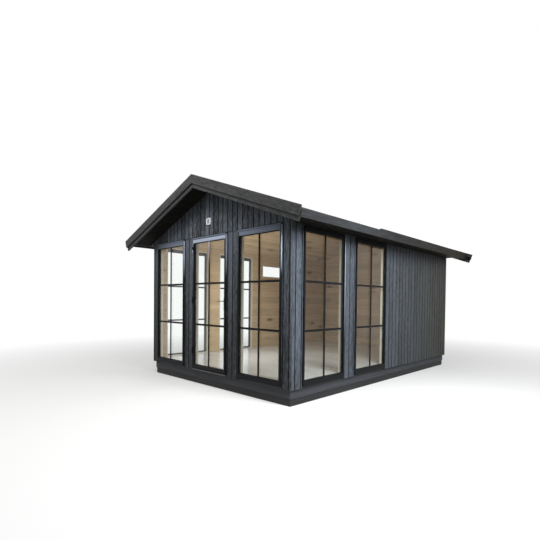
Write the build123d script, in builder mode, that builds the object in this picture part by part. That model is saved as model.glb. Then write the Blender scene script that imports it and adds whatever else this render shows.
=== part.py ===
"""Garden cabin of stained timber: glazed gable end, two glazed units on each side and a felted saddle roof.

Millimetres. X runs along the front gable, Y from the front to the back, Z up.
The origin lies on the ground under the middle of the roof.
"""
from build123d import *
from math import cos, radians, sin, tan
import os

# Plan of the walls
BOARD_COVER = 116.5  # width that one vertical cladding board shows
BOARDS_PER_BAY = 10
FRONT_CORNER = 171.0  # from the outer front units to the corners
WALL_DEPTH = 4840.0  # between the outer faces of the gable cladding
WALL_THICKNESS = 85.0
CLADDING_THICKNESS = 20.0

# Heights of the base and the walls
BASE_HEIGHT = 97.0
SILL_HEIGHT = 147.0  # of the sills on the base
CLADDING_LAP = 29.0  # of the cladding below the top of the sills
FLOOR_RISE = 43.0  # of the floor over the top of the sills
HEADER_HEIGHT = 85.0  # from the tall units to the rafters, at the outer face of the wall cores
GABLE_BOARDS_RISE = 23.0  # of the gable boards' lower edge over the tall units
EAVE_SOFFIT_RISE = 13.0  # of the eave soffits' underside over the tall units

# Base, skirt and floor
BASE_RECESS = 45.0
BASE_BEAM_WIDTH = 95.0
BASE_CROSS_BEAMS = 4
SKIRT_RECESS = 35.0
SKIRT_THICKNESS = 20.0
FLOOR_BOARD = 25.0
JOIST_WIDTH = 45.0
JOISTS = 8

# Tall glazed units
UNIT_WIDTH = 888.0
UNIT_HEIGHT = 2088.0
STILE = 28.0  # from the edge of a fixed unit to its pane
TOP_RAIL = 70.0
BOTTOM_RAIL = 65.0
UNIT_PROUD = 20.0  # of the units' outer faces before the cladding
UNIT_DEPTH = 56.0
GLASS_SETBACK = 27.0  # of a fixed pane behind the unit's outer face
GLASS_THICKNESS = 18.0
PANE_PLAY = 0.3
INNER_BEVEL = 3.0
LINING_THICKNESS = 18.0  # of the boards that line the walls' openings behind the units
LINING_SILL_RISE = 10.0  # of the linings' sills over the floor
SIDE_UNIT_CENTRE = 660.0  # from the front cladding to the middle of the first side unit

# High window of the left wall
HIGH_WIDTH = 1188.0
HIGH_HEIGHT = 436.0
HIGH_DROP = 59.0  # of its top below the top of the tall units
HIGH_START = 2530.0  # from the front cladding
HIGH_RAIL = 90.0

# Door in the middle unit of the front
JAMB = 8.0
LEAF_GAP = 6.5
LEAF_DEPTH = 40.0
DOOR_STILE = 42.0  # from the edge of the door's unit to its pane
DOOR_GLASS_SETBACK = 20.0  # of the door's pane behind the outer face of the leaf
STOP_WIDTH = 10.0
STOP_DEPTH = 14.0
HINGE_RADIUS = 7.0
HINGE_HEIGHT = 100.0
HINGE_PLATE_WIDTH = 11.0
HINGE_PLATE = 4.0
HINGE_PROUD = 8.0  # of the hinge axis before the unit's outer face
HINGES = 3
HINGE_FROM_BOTTOM = 230.0  # lowest hinge above the bottom of the leaf
HINGE_FROM_TOP = 110.0  # highest hinge below the top of the leaf
HINGE_PLAY = 0.3  # between the two halves of a hinge
PIN_RADIUS = 3.5
PIN_LENGTH = 30.0  # of a hinge's pin above its lower half
HANDLE_HEIGHT = 1050.0  # above the floor
PLATE_WIDTH = 13.0
PLATE_HEIGHT = 180.0
PLATE_THICKNESS = 5.0
LEVER_RADIUS = 6.0
LEVER_REACH = 36.0
LEVER_LENGTH = 112.0

THRESHOLD_PROUD = 23.0  # of its lip before the cladding
THRESHOLD_LIP = 14.0
THRESHOLD_METAL = 4.0
THRESHOLD_UPSTAND = 22.0

# Roof
PITCH = 19.5
BARGE_ABOVE_ROOF = 30.0  # height of the barge boards above the roof
GABLE_OVERHANG = 325.0
EAVE_OVERHANG = 338.0
BARGE_PAST_FASCIA = 116.0
BARGE_BOARD = 22.0
BARGE_UPPER_DEPTH = 125.0
BARGE_LOWER_START = 65.0
BARGE_LOWER_DEPTH = 185.0
DECK_THICKNESS = 20.0
RAFTER_DEPTH = 121.0
RAFTER_WIDTH = 45.0
RAFTERS = 10
CEILING_BOARD = 15.0
FASCIA_THICKNESS = 22.0
FASCIA_HEIGHT = 108.0
SOFFIT_BOARD = 12.0
EDGE_BATTEN_HEIGHT = 26.0
EDGE_BATTEN_WIDTH = 45.0
EDGE_BATTEN_START = 1578.0  # from the front cladding
RIDGE_CAP_WIDTH = 150.0
RIDGE_CAP_THICKNESS = 6.0

# Gable trim
GABLE_BOARDS_PROUD = 10.0
DRIP_PROUD = 28.0
DRIP_DROP = 12.0
DRIP_LIP = 5.0
VENT_WIDTH = 118.0
VENT_HEIGHT = 102.0
VENT_THICKNESS = 14.0
VENT_CENTRE_X = -8.0
VENT_RISE = 233.0  # of its middle over the tall units
VENT_SLOTS = 5
VENT_SLOT_PITCH = 14.0
VENT_SLOT_WIDTH = 7.0
VENT_SLOT_LENGTH = 54.0
VENT_CORNER = 19.0
VENT_EDGE = 4.5

# Derived heights
sill_top = BASE_HEIGHT + SILL_HEIGHT
cladding_bottom = sill_top - CLADDING_LAP
floor_top = sill_top + FLOOR_RISE
unit_top = sill_top + UNIT_HEIGHT
gable_boards_bottom = unit_top + GABLE_BOARDS_RISE
eave_soffit_bottom = unit_top + EAVE_SOFFIT_RISE

# Derived lines of the walls
bay = BOARD_COVER * BOARDS_PER_BAY  # from one tall unit to the next
unit_edge = UNIT_WIDTH / 2
outer_unit_edge = bay + unit_edge
pier_half = (bay - UNIT_WIDTH) / 2
half_width = outer_unit_edge + FRONT_CORNER
half_depth = WALL_DEPTH / 2
front_face = -half_depth
core_x = half_width - CLADDING_THICKNESS
core_y = half_depth - CLADDING_THICKNESS
core_thickness = WALL_THICKNESS - CLADDING_THICKNESS
inner_x = half_width - WALL_THICKNESS
inner_y = half_depth - WALL_THICKNESS
skirt_back = SKIRT_RECESS + SKIRT_THICKNESS
sill_x = half_width - skirt_back
sill_y = half_depth - skirt_back
side_centres = [front_face + SIDE_UNIT_CENTRE, front_face + SIDE_UNIT_CENTRE + bay]
front_centres = [-bay, 0.0, bay]
side_pier_edges = [side_centres[0] - unit_edge, side_centres[0] + unit_edge, side_centres[1] - unit_edge]
panel_start = side_centres[1] + unit_edge
high_centre = front_face + HIGH_START + HIGH_WIDTH / 2
high_middle = unit_top - HIGH_DROP - HIGH_HEIGHT / 2

# Derived lines of the roof
slope = tan(radians(PITCH))
ceiling_apex = unit_top + HEADER_HEIGHT + slope * core_x
soffit_apex = ceiling_apex - CEILING_BOARD
rafter_apex = ceiling_apex + RAFTER_DEPTH
deck_apex = rafter_apex + DECK_THICKNESS
ridge_top = deck_apex + BARGE_ABOVE_ROOF
barge_face = half_depth + GABLE_OVERHANG
roof_half_length = barge_face - 2 * BARGE_BOARD
fascia_face = half_width + EAVE_OVERHANG
fascia_back = fascia_face - FASCIA_THICKNESS
barge_half_width = fascia_face + BARGE_PAST_FASCIA
fascia_top = deck_apex - slope * fascia_face
eave_soffit_top = eave_soffit_bottom + SOFFIT_BOARD
tail_start = (ceiling_apex - eave_soffit_top) / slope
verge_end = (soffit_apex - eave_soffit_bottom) / slope


def facing_front(y):
    """Plane at depth y whose normal points to the front, with X to the right and Z up."""
    return Plane(origin=(0, y, 0), x_dir=(1, 0, 0), z_dir=(0, -1, 0))


def rectangle(x0, x1, y0, y1):
    """Rectangle between two corners of the sketch it is drawn in."""
    with Locations(((x0 + x1) / 2, (y0 + y1) / 2)):
        Rectangle(x1 - x0, y1 - y0)


def finish(piece, name):
    """Labels a finished piece and writes its file."""
    piece.part.label = name
    export_step(piece.part, f"parts/{name}.step")


os.makedirs("parts", exist_ok=True)

# Base beams
base_x = half_width - BASE_RECESS
base_y = half_depth - BASE_RECESS

with BuildPart() as base_beams_long:
    with BuildSketch(Plane.XY):
        rectangle(base_x - BASE_BEAM_WIDTH, base_x, -base_y, base_y)
        mirror(about=Plane.YZ)
    extrude(amount=BASE_HEIGHT)
finish(base_beams_long, "base_beams_long")

cross_length = 2 * (base_x - BASE_BEAM_WIDTH)
cross_spacing = (2 * base_y - BASE_BEAM_WIDTH) / (BASE_CROSS_BEAMS - 1)
with BuildPart() as base_beams_cross:
    with BuildSketch(Plane.XY):
        with GridLocations(1, cross_spacing, 1, BASE_CROSS_BEAMS):
            Rectangle(cross_length, BASE_BEAM_WIDTH)
    extrude(amount=BASE_HEIGHT)
finish(base_beams_cross, "base_beams_cross")

# Skirt boards between the base and the cladding
skirt_x = half_width - SKIRT_RECESS
skirt_y = half_depth - SKIRT_RECESS

with BuildPart() as skirt_sides:
    with BuildSketch(Plane.XY.offset(BASE_HEIGHT)):
        rectangle(skirt_x - SKIRT_THICKNESS, skirt_x, -sill_y, sill_y)
        mirror(about=Plane.YZ)
    extrude(amount=SILL_HEIGHT)
finish(skirt_sides, "skirt_sides")

with BuildPart() as skirt_ends:
    with BuildSketch(Plane.XY.offset(BASE_HEIGHT)):
        rectangle(-skirt_x, skirt_x, skirt_y - SKIRT_THICKNESS, skirt_y)
        mirror(about=Plane.XZ)
    extrude(amount=SILL_HEIGHT)
finish(skirt_ends, "skirt_ends")

# Floor
joist_top = floor_top - FLOOR_BOARD
joist_spacing = (2 * inner_y - JOIST_WIDTH) / (JOISTS - 1)
with BuildPart() as floor_joists:
    with BuildSketch(Plane.XY.offset(BASE_HEIGHT)):
        with GridLocations(1, joist_spacing, 1, JOISTS):
            Rectangle(2 * inner_x, JOIST_WIDTH)
    extrude(amount=joist_top - BASE_HEIGHT)
finish(floor_joists, "floor_joists")

with BuildPart() as floor:
    with BuildSketch(Plane.XY.offset(joist_top)):
        Rectangle(2 * inner_x, 2 * inner_y)
    extrude(amount=FLOOR_BOARD)
finish(floor, "floor")

# Sills that the walls and the glazed units stand on
with BuildPart() as sills_sides:
    with BuildSketch(Plane.XY.offset(BASE_HEIGHT)):
        rectangle(inner_x, sill_x, -inner_y, inner_y)
        mirror(about=Plane.YZ)
    extrude(amount=SILL_HEIGHT)
finish(sills_sides, "sills_sides")

with BuildPart() as sills_ends:
    with BuildSketch(Plane.XY.offset(BASE_HEIGHT)):
        rectangle(-sill_x, sill_x, inner_y, sill_y)
        mirror(about=Plane.XZ)
    extrude(amount=SILL_HEIGHT)
finish(sills_ends, "sills_ends")

# Front wall: four piers and the gable over the units
pier_start = bay / 2 - pier_half
pier_end = bay / 2 + pier_half
with BuildPart() as front_piers:
    with BuildSketch(Plane.XY.offset(sill_top)):
        rectangle(outer_unit_edge, core_x, -core_y, -inner_y)
        rectangle(pier_start, pier_end, -core_y, -inner_y)
        mirror(about=Plane.YZ)
    extrude(amount=UNIT_HEIGHT)
finish(front_piers, "front_piers")

with BuildPart() as front_gable:
    with BuildSketch(facing_front(-inner_y)):
        with BuildLine():
            Polyline(
                (0, unit_top),
                (core_x, unit_top),
                (core_x, ceiling_apex - slope * core_x),
                (0, ceiling_apex),
                close=True,
            )
        make_face()
        mirror(about=Plane.YZ)
    extrude(amount=core_thickness)
finish(front_gable, "front_gable")

# Back wall with its gable
with BuildPart() as back_wall:
    with BuildSketch(facing_front(core_y)):
        with BuildLine():
            Polyline(
                (0, sill_top),
                (core_x, sill_top),
                (core_x, ceiling_apex - slope * core_x),
                (0, ceiling_apex),
                close=True,
            )
        make_face()
        mirror(about=Plane.YZ)
    extrude(amount=core_thickness)
finish(back_wall, "back_wall")

# Side walls: piers beside the units, a long panel behind them and a header over all
with BuildPart() as right_wall:
    with BuildSketch(Plane.XY.offset(sill_top)):
        rectangle(inner_x, core_x, -inner_y, side_pier_edges[0])
        rectangle(inner_x, core_x, side_pier_edges[1], side_pier_edges[2])
        rectangle(inner_x, core_x, panel_start, inner_y)
    extrude(amount=UNIT_HEIGHT)
finish(right_wall, "right_wall")

with BuildPart() as left_wall:
    with BuildSketch(Plane.YZ.offset(-core_x)):
        rectangle(-inner_y, side_pier_edges[0], sill_top, unit_top)
        rectangle(side_pier_edges[1], side_pier_edges[2], sill_top, unit_top)
        rectangle(panel_start, inner_y, sill_top, unit_top)
        with Locations((high_centre, high_middle)):
            Rectangle(HIGH_WIDTH, HIGH_HEIGHT, mode=Mode.SUBTRACT)
    extrude(amount=core_thickness)
finish(left_wall, "left_wall")

with BuildPart() as side_headers:
    with BuildSketch(facing_front(inner_y)):
        with BuildLine():
            Polyline(
                (inner_x, unit_top),
                (core_x, unit_top),
                (core_x, ceiling_apex - slope * core_x),
                (inner_x, ceiling_apex - slope * inner_x),
                close=True,
            )
        make_face()
        mirror(about=Plane.YZ)
    extrude(amount=2 * inner_y)
finish(side_headers, "side_headers")

# Cladding of vertical boards
cladding_height = unit_top - cladding_bottom
with BuildPart() as front_cladding:
    with BuildSketch(Plane.XY.offset(cladding_bottom)):
        rectangle(outer_unit_edge, half_width, front_face, -core_y)
        rectangle(pier_start, pier_end, front_face, -core_y)
        mirror(about=Plane.YZ)
    extrude(amount=gable_boards_bottom - cladding_bottom)
finish(front_cladding, "front_cladding")

with BuildPart() as front_gable_cladding:
    with BuildSketch(facing_front(-core_y)):
        with BuildLine():
            Polyline(
                (0, gable_boards_bottom),
                (half_width, gable_boards_bottom),
                (half_width, eave_soffit_bottom),
                (verge_end, eave_soffit_bottom),
                (0, soffit_apex),
                close=True,
            )
        make_face()
        mirror(about=Plane.YZ)
    extrude(amount=CLADDING_THICKNESS + GABLE_BOARDS_PROUD)
finish(front_gable_cladding, "front_gable_cladding")

with BuildPart() as back_cladding:
    with BuildSketch(facing_front(half_depth)):
        with BuildLine():
            Polyline(
                (0, cladding_bottom),
                (half_width, cladding_bottom),
                (half_width, eave_soffit_bottom),
                (verge_end, eave_soffit_bottom),
                (0, soffit_apex),
                close=True,
            )
        make_face()
        mirror(about=Plane.YZ)
    extrude(amount=CLADDING_THICKNESS)
finish(back_cladding, "back_cladding")


def side_cladding_sketch():
    """Outline of a side's cladding in Y and Z, open at its two tall units."""
    rectangle(-core_y, core_y, cladding_bottom, eave_soffit_bottom)
    for centre in side_centres:
        with Locations((centre, (cladding_bottom + unit_top) / 2)):
            Rectangle(UNIT_WIDTH, cladding_height, mode=Mode.SUBTRACT)


with BuildPart() as right_cladding:
    with BuildSketch(Plane.YZ.offset(core_x)):
        side_cladding_sketch()
    extrude(amount=CLADDING_THICKNESS)
finish(right_cladding, "right_cladding")

with BuildPart() as left_cladding:
    with BuildSketch(Plane.YZ.offset(-half_width)):
        side_cladding_sketch()
        with Locations((high_centre, high_middle)):
            Rectangle(HIGH_WIDTH, HIGH_HEIGHT, mode=Mode.SUBTRACT)
    extrude(amount=CLADDING_THICKNESS)
finish(left_cladding, "left_cladding")

# Fixed glazed units
unit_face_x = half_width + UNIT_PROUD
unit_face_y = half_depth + UNIT_PROUD
unit_middle = sill_top + UNIT_HEIGHT / 2
glass_width = UNIT_WIDTH - 2 * STILE
door_glass_width = UNIT_WIDTH - 2 * DOOR_STILE
glass_height = UNIT_HEIGHT - TOP_RAIL - BOTTOM_RAIL
pane_middle = sill_top + BOTTOM_RAIL + glass_height / 2


def window_frames(plane, units):
    """Frames with a bevel round each pane, their outer faces on the given plane.

    Each unit is the middle of its frame, the frame's size, the middle of its pane and the pane's size.
    """
    with BuildPart() as frames:
        with BuildSketch(plane):
            for frame_at, frame_size, pane_at, pane_size in units:
                with Locations(frame_at):
                    Rectangle(*frame_size)
                with Locations(pane_at):
                    Rectangle(*pane_size, mode=Mode.SUBTRACT)
        extrude(amount=-UNIT_DEPTH)
        for frame_at, frame_size, pane_at, pane_size in units:
            with BuildSketch(plane):
                with Locations(pane_at):
                    Rectangle(pane_size[0] + 2 * INNER_BEVEL, pane_size[1] + 2 * INNER_BEVEL)
            with BuildSketch(plane.offset(-INNER_BEVEL)):
                with Locations(pane_at):
                    Rectangle(*pane_size)
            loft(mode=Mode.SUBTRACT)
    return frames


def tall_unit(centre):
    """Frame and pane of one tall unit, for window_frames."""
    return (centre, unit_middle), (UNIT_WIDTH, UNIT_HEIGHT), (centre, pane_middle), (glass_width, glass_height)


front_window_frames = window_frames(facing_front(-unit_face_y), [tall_unit(-bay), tall_unit(bay)])
finish(front_window_frames, "front_window_frames")

right_window_frames = window_frames(Plane.YZ.offset(unit_face_x), [tall_unit(centre) for centre in side_centres])
finish(right_window_frames, "right_window_frames")

left_plane = Plane(origin=(-unit_face_x, 0, 0), x_dir=(0, -1, 0), z_dir=(-1, 0, 0))
left_window_frames = window_frames(left_plane, [tall_unit(-centre) for centre in side_centres])
finish(left_window_frames, "left_window_frames")

high_pane_width = HIGH_WIDTH - 2 * HIGH_RAIL
high_pane_height = HIGH_HEIGHT - 2 * HIGH_RAIL
high_at = (-high_centre, high_middle)
high_window_frame = window_frames(
    left_plane,
    [(high_at, (HIGH_WIDTH, HIGH_HEIGHT), high_at, (high_pane_width, high_pane_height))],
)
finish(high_window_frame, "high_window_frame")

# Linings of the walls' openings, from the backs of the units to the room
door_stop_setback = LEAF_DEPTH + LEAF_GAP
door_frame_depth = door_stop_setback + STOP_DEPTH
lining_sill = FLOOR_RISE + LINING_SILL_RISE


def tall_lining(centre):
    """Section of the lining round one tall unit's opening, with its sill a little over the floor."""
    rectangle(centre - unit_edge, centre + unit_edge, sill_top, unit_top)
    with Locations((centre, (sill_top + lining_sill + unit_top - LINING_THICKNESS) / 2)):
        Rectangle(
            UNIT_WIDTH - 2 * LINING_THICKNESS,
            UNIT_HEIGHT - lining_sill - LINING_THICKNESS,
            mode=Mode.SUBTRACT,
        )


with BuildPart() as window_linings:
    for unit_back, centres in (
        (unit_face_y - UNIT_DEPTH, (-bay, bay)),
        (unit_face_y - door_frame_depth, (0.0,)),
    ):
        with BuildSketch(facing_front(-unit_back)):
            for centre in centres:
                tall_lining(centre)
        extrude(amount=inner_y - unit_back)
    for side in (1, -1):
        with BuildSketch(Plane.YZ.offset(side * inner_x)):
            for centre in side_centres:
                tall_lining(centre)
        extrude(amount=side * (unit_face_x - UNIT_DEPTH - inner_x))
    with BuildSketch(Plane.YZ.offset(-inner_x)):
        with Locations((high_centre, high_middle)):
            Rectangle(HIGH_WIDTH, HIGH_HEIGHT)
            Rectangle(HIGH_WIDTH - 2 * LINING_THICKNESS, HIGH_HEIGHT - 2 * LINING_THICKNESS, mode=Mode.SUBTRACT)
    extrude(amount=inner_x + UNIT_DEPTH - unit_face_x)
finish(window_linings, "window_linings")

# Panes
pane_outer_x = unit_face_x - GLASS_SETBACK
pane_outer_y = unit_face_y - GLASS_SETBACK
pane_width = glass_width - 2 * PANE_PLAY
pane_height = glass_height - 2 * PANE_PLAY

with BuildPart() as window_panes:
    with BuildSketch(facing_front(-pane_outer_y)):
        with Locations((-bay, pane_middle), (bay, pane_middle)):
            Rectangle(pane_width, pane_height)
    extrude(amount=-GLASS_THICKNESS)
    for outer_plane, inward in ((Plane.YZ.offset(pane_outer_x), -1), (Plane.YZ.offset(-pane_outer_x), 1)):
        with BuildSketch(outer_plane):
            with Locations(*[(centre, pane_middle) for centre in side_centres]):
                Rectangle(pane_width, pane_height)
        extrude(amount=inward * GLASS_THICKNESS)
    with BuildSketch(Plane.YZ.offset(-pane_outer_x)):
        with Locations((high_centre, high_middle)):
            Rectangle(high_pane_width - 2 * PANE_PLAY, high_pane_height - 2 * PANE_PLAY)
    extrude(amount=GLASS_THICKNESS)
finish(window_panes, "window_panes")

# Door: frame with a stop behind the leaf, leaf, pane and handle
door_opening = UNIT_WIDTH - 2 * JAMB
door_opening_height = UNIT_HEIGHT - 2 * JAMB
leaf_width = door_opening - 2 * LEAF_GAP
leaf_bottom = sill_top + JAMB + LEAF_GAP
leaf_height = door_opening_height - 2 * LEAF_GAP
leaf_middle = leaf_bottom + leaf_height / 2
first_hinge = leaf_bottom + HINGE_FROM_BOTTOM
last_hinge = leaf_bottom + leaf_height - HINGE_FROM_TOP - HINGE_HEIGHT
hinge_spacing = (last_hinge - first_hinge) / (HINGES - 1)

hinge_x = -door_opening / 2 + LEAF_GAP / 2
hinge_y = -unit_face_y - HINGE_PROUD


def hinge_half(side):
    """Section of a hinge's knuckle with its plate, on the leaf with side 1 or on the frame with side -1."""
    with Locations((hinge_x, hinge_y)):
        Circle(HINGE_RADIUS)
    plate = sorted((hinge_x, hinge_x + side * HINGE_PLATE_WIDTH))
    rectangle(*plate, -unit_face_y - HINGE_PLATE, -unit_face_y)


with BuildPart() as door_frame:
    with BuildSketch(facing_front(-unit_face_y)):
        with Locations((0, unit_middle)):
            Rectangle(UNIT_WIDTH, UNIT_HEIGHT)
            Rectangle(door_opening, door_opening_height, mode=Mode.SUBTRACT)
    extrude(amount=-door_frame_depth)
    with BuildSketch(facing_front(-unit_face_y + door_stop_setback)):
        with Locations((0, unit_middle)):
            Rectangle(door_opening, door_opening_height)
            Rectangle(door_opening - 2 * STOP_WIDTH, door_opening_height - 2 * STOP_WIDTH, mode=Mode.SUBTRACT)
    extrude(amount=-STOP_DEPTH)
    for number in range(HINGES):
        with BuildSketch(Plane.XY.offset(first_hinge + number * hinge_spacing)):
            hinge_half(-1)
        extrude(amount=HINGE_HEIGHT / 2)
        with BuildSketch(Plane.XY.offset(first_hinge + number * hinge_spacing + HINGE_HEIGHT / 2)):
            with Locations((hinge_x, hinge_y)):
                Circle(PIN_RADIUS)
        extrude(amount=PIN_LENGTH)
finish(door_frame, "door_frame")

with BuildPart() as door_leaf:
    with BuildSketch(facing_front(-unit_face_y)):
        with Locations((0, leaf_middle)):
            Rectangle(leaf_width, leaf_height)
        with Locations((0, pane_middle)):
            Rectangle(door_glass_width, glass_height, mode=Mode.SUBTRACT)
    extrude(amount=-LEAF_DEPTH)
    with BuildSketch(facing_front(-unit_face_y)):
        with Locations((0, pane_middle)):
            Rectangle(door_glass_width + 2 * INNER_BEVEL, glass_height + 2 * INNER_BEVEL)
    with BuildSketch(facing_front(-unit_face_y + INNER_BEVEL)):
        with Locations((0, pane_middle)):
            Rectangle(door_glass_width, glass_height)
    loft(mode=Mode.SUBTRACT)
    for number in range(HINGES):
        with BuildSketch(Plane.XY.offset(first_hinge + number * hinge_spacing + HINGE_HEIGHT / 2 + HINGE_PLAY)):
            hinge_half(1)
        extrude(amount=HINGE_HEIGHT / 2)
        with BuildSketch(Plane.XY.offset(first_hinge + number * hinge_spacing + HINGE_HEIGHT / 2)):
            with Locations((hinge_x, hinge_y)):
                Circle(PIN_RADIUS + HINGE_PLAY)
        extrude(amount=PIN_LENGTH + 2 * HINGE_PLAY, mode=Mode.SUBTRACT)
finish(door_leaf, "door_leaf")

# Metal threshold under the door frame, before the skirt
threshold_face = front_face - THRESHOLD_PROUD
with BuildPart() as door_threshold:
    with BuildSketch(Plane.YZ.offset(-UNIT_WIDTH / 2)):
        with BuildLine():
            Polyline(
                (-skirt_y, sill_top),
                (threshold_face, sill_top),
                (threshold_face, sill_top - THRESHOLD_LIP),
                (threshold_face + THRESHOLD_METAL, sill_top - THRESHOLD_LIP),
                (threshold_face + THRESHOLD_METAL, sill_top - THRESHOLD_METAL),
                (-skirt_y - THRESHOLD_METAL, sill_top - THRESHOLD_METAL),
                (-skirt_y - THRESHOLD_METAL, sill_top - THRESHOLD_UPSTAND),
                (-skirt_y, sill_top - THRESHOLD_UPSTAND),
                close=True,
            )
        make_face()
    extrude(amount=UNIT_WIDTH)
finish(door_threshold, "door_threshold")

with BuildPart() as door_pane:
    with BuildSketch(facing_front(-unit_face_y + DOOR_GLASS_SETBACK)):
        with Locations((0, pane_middle)):
            Rectangle(door_glass_width - 2 * PANE_PLAY, pane_height)
    extrude(amount=-GLASS_THICKNESS)
finish(door_pane, "door_pane")

# A plate and a lever on each face of the leaf, on the flat of its stile
handle_x = door_glass_width / 2 + INNER_BEVEL + PLATE_WIDTH / 2
handle_z = floor_top + HANDLE_HEIGHT
with BuildPart() as door_handle:
    for leaf_side, outward in ((-unit_face_y, -1), (-unit_face_y + LEAF_DEPTH, 1)):
        plate_face = leaf_side + outward * PLATE_THICKNESS
        lever_line = leaf_side + outward * LEVER_REACH
        with BuildSketch(facing_front(leaf_side)):
            with Locations((handle_x, handle_z - PLATE_HEIGHT / 4)):
                RectangleRounded(PLATE_WIDTH, PLATE_HEIGHT, PLATE_WIDTH / 2 - 1)
        extrude(amount=-outward * PLATE_THICKNESS)
        with BuildLine(Plane(origin=(0, 0, handle_z))):
            FilletPolyline(
                (handle_x, plate_face),
                (handle_x, lever_line),
                (handle_x - LEVER_LENGTH, lever_line),
                radius=2 * LEVER_RADIUS,
            )
        with BuildSketch(facing_front(plate_face)):
            with Locations((handle_x, handle_z)):
                Circle(LEVER_RADIUS)
        sweep()
finish(door_handle, "door_handle")

# Roof structure
with BuildPart() as ridge_beam:
    with BuildSketch(facing_front(roof_half_length)):
        rectangle(-RAFTER_WIDTH / 2, RAFTER_WIDTH / 2, ceiling_apex, rafter_apex - slope * RAFTER_WIDTH / 2)
    extrude(amount=2 * roof_half_length)
finish(ridge_beam, "ridge_beam")

rafter_spacing = (2 * roof_half_length - RAFTER_WIDTH) / (RAFTERS - 1)
first_rafter = roof_half_length
with BuildPart() as rafters:
    for number in range(RAFTERS):
        with BuildSketch(facing_front(first_rafter - number * rafter_spacing)):
            with BuildLine():
                Polyline(
                    (RAFTER_WIDTH / 2, rafter_apex - slope * RAFTER_WIDTH / 2),
                    (fascia_back, rafter_apex - slope * fascia_back),
                    (fascia_back, eave_soffit_top),
                    (tail_start, eave_soffit_top),
                    (RAFTER_WIDTH / 2, ceiling_apex - slope * RAFTER_WIDTH / 2),
                    close=True,
                )
            make_face()
            mirror(about=Plane.YZ)
        extrude(amount=RAFTER_WIDTH)
finish(rafters, "rafters")


def sloped_layer(top_apex, thickness, outer_x):
    """Outline in X and Z of a layer that follows the right slope from the ridge, its thickness taken upright."""
    with BuildSketch() as layer:
        with BuildLine():
            Polyline(
                (0, top_apex),
                (outer_x, top_apex - slope * outer_x),
                (outer_x, top_apex - thickness - slope * outer_x),
                (0, top_apex - thickness),
                close=True,
            )
        make_face()
    return layer.sketch


with BuildPart() as roof_right:
    with BuildSketch(facing_front(roof_half_length)):
        add(sloped_layer(deck_apex, DECK_THICKNESS, fascia_back))
    extrude(amount=2 * roof_half_length)
finish(roof_right, "roof_right")

with BuildPart() as roof_left:
    with BuildSketch(facing_front(roof_half_length)):
        add(mirror(sloped_layer(deck_apex, DECK_THICKNESS, fascia_back), about=Plane.YZ, mode=Mode.PRIVATE))
    extrude(amount=2 * roof_half_length)
finish(roof_left, "roof_left")

with BuildPart() as ceiling:
    with BuildSketch(facing_front(inner_y)):
        add(sloped_layer(ceiling_apex, CEILING_BOARD, inner_x))
        mirror(about=Plane.YZ)
    extrude(amount=2 * inner_y)
finish(ceiling, "ceiling")

with BuildPart() as verge_soffits:
    for verge_back in (-half_depth, roof_half_length):
        with BuildSketch(facing_front(verge_back)):
            add(sloped_layer(ceiling_apex, CEILING_BOARD, verge_end))
            mirror(about=Plane.YZ)
        extrude(amount=roof_half_length - half_depth)
finish(verge_soffits, "verge_soffits")

with BuildPart() as eave_soffits:
    with BuildSketch(Plane.XY.offset(eave_soffit_bottom)):
        rectangle(half_width, fascia_back, -core_y, core_y)
        rectangle(verge_end, fascia_back, -roof_half_length, roof_half_length)
        mirror(about=Plane.YZ)
    extrude(amount=SOFFIT_BOARD)
finish(eave_soffits, "eave_soffits")

# Fascias, edge battens and the ridge cap
with BuildPart() as eave_fascias:
    with BuildSketch(facing_front(roof_half_length)):
        with BuildLine():
            Polyline(
                (fascia_back, fascia_top - FASCIA_HEIGHT),
                (fascia_face, fascia_top - FASCIA_HEIGHT),
                (fascia_face, fascia_top),
                (fascia_back, deck_apex - slope * fascia_back),
                close=True,
            )
        make_face()
        mirror(about=Plane.YZ)
    extrude(amount=2 * roof_half_length)
finish(eave_fascias, "eave_fascias")

batten_inner = fascia_face - EDGE_BATTEN_WIDTH
with BuildPart() as edge_battens:
    with BuildSketch(facing_front(roof_half_length)):
        with BuildLine():
            Polyline(
                (batten_inner, deck_apex - slope * batten_inner),
                (fascia_face, fascia_top),
                (fascia_face, fascia_top + EDGE_BATTEN_HEIGHT),
                (batten_inner, deck_apex - slope * batten_inner + EDGE_BATTEN_HEIGHT / 2),
                close=True,
            )
        make_face()
        mirror(about=Plane.YZ)
    extrude(amount=roof_half_length - (front_face + EDGE_BATTEN_START))
finish(edge_battens, "edge_battens")

with BuildPart() as ridge_cap:
    with BuildSketch(facing_front(roof_half_length)):
        with BuildLine():
            Polyline(
                (0, deck_apex + RIDGE_CAP_THICKNESS),
                (RIDGE_CAP_WIDTH, deck_apex + RIDGE_CAP_THICKNESS - slope * RIDGE_CAP_WIDTH),
                (RIDGE_CAP_WIDTH, deck_apex - slope * RIDGE_CAP_WIDTH),
                (0, deck_apex),
                close=True,
            )
        make_face()
        mirror(about=Plane.YZ)
    extrude(amount=2 * roof_half_length)
finish(ridge_cap, "ridge_cap")


def barge_pair(start, depth):
    """Outline of a pair of barge boards that meet at the ridge, between two depths square to the slope."""
    across = sin(radians(PITCH))
    down = cos(radians(PITCH))
    end_top = ridge_top - slope * barge_half_width
    with BuildSketch() as pair:
        with BuildLine():
            Polyline(
                (0, ridge_top - start / down),
                (barge_half_width - start * across, end_top - start * down),
                (barge_half_width - depth * across, end_top - depth * down),
                (0, ridge_top - depth / down),
                close=True,
            )
        make_face()
        mirror(about=Plane.YZ)
    return pair.sketch


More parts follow.
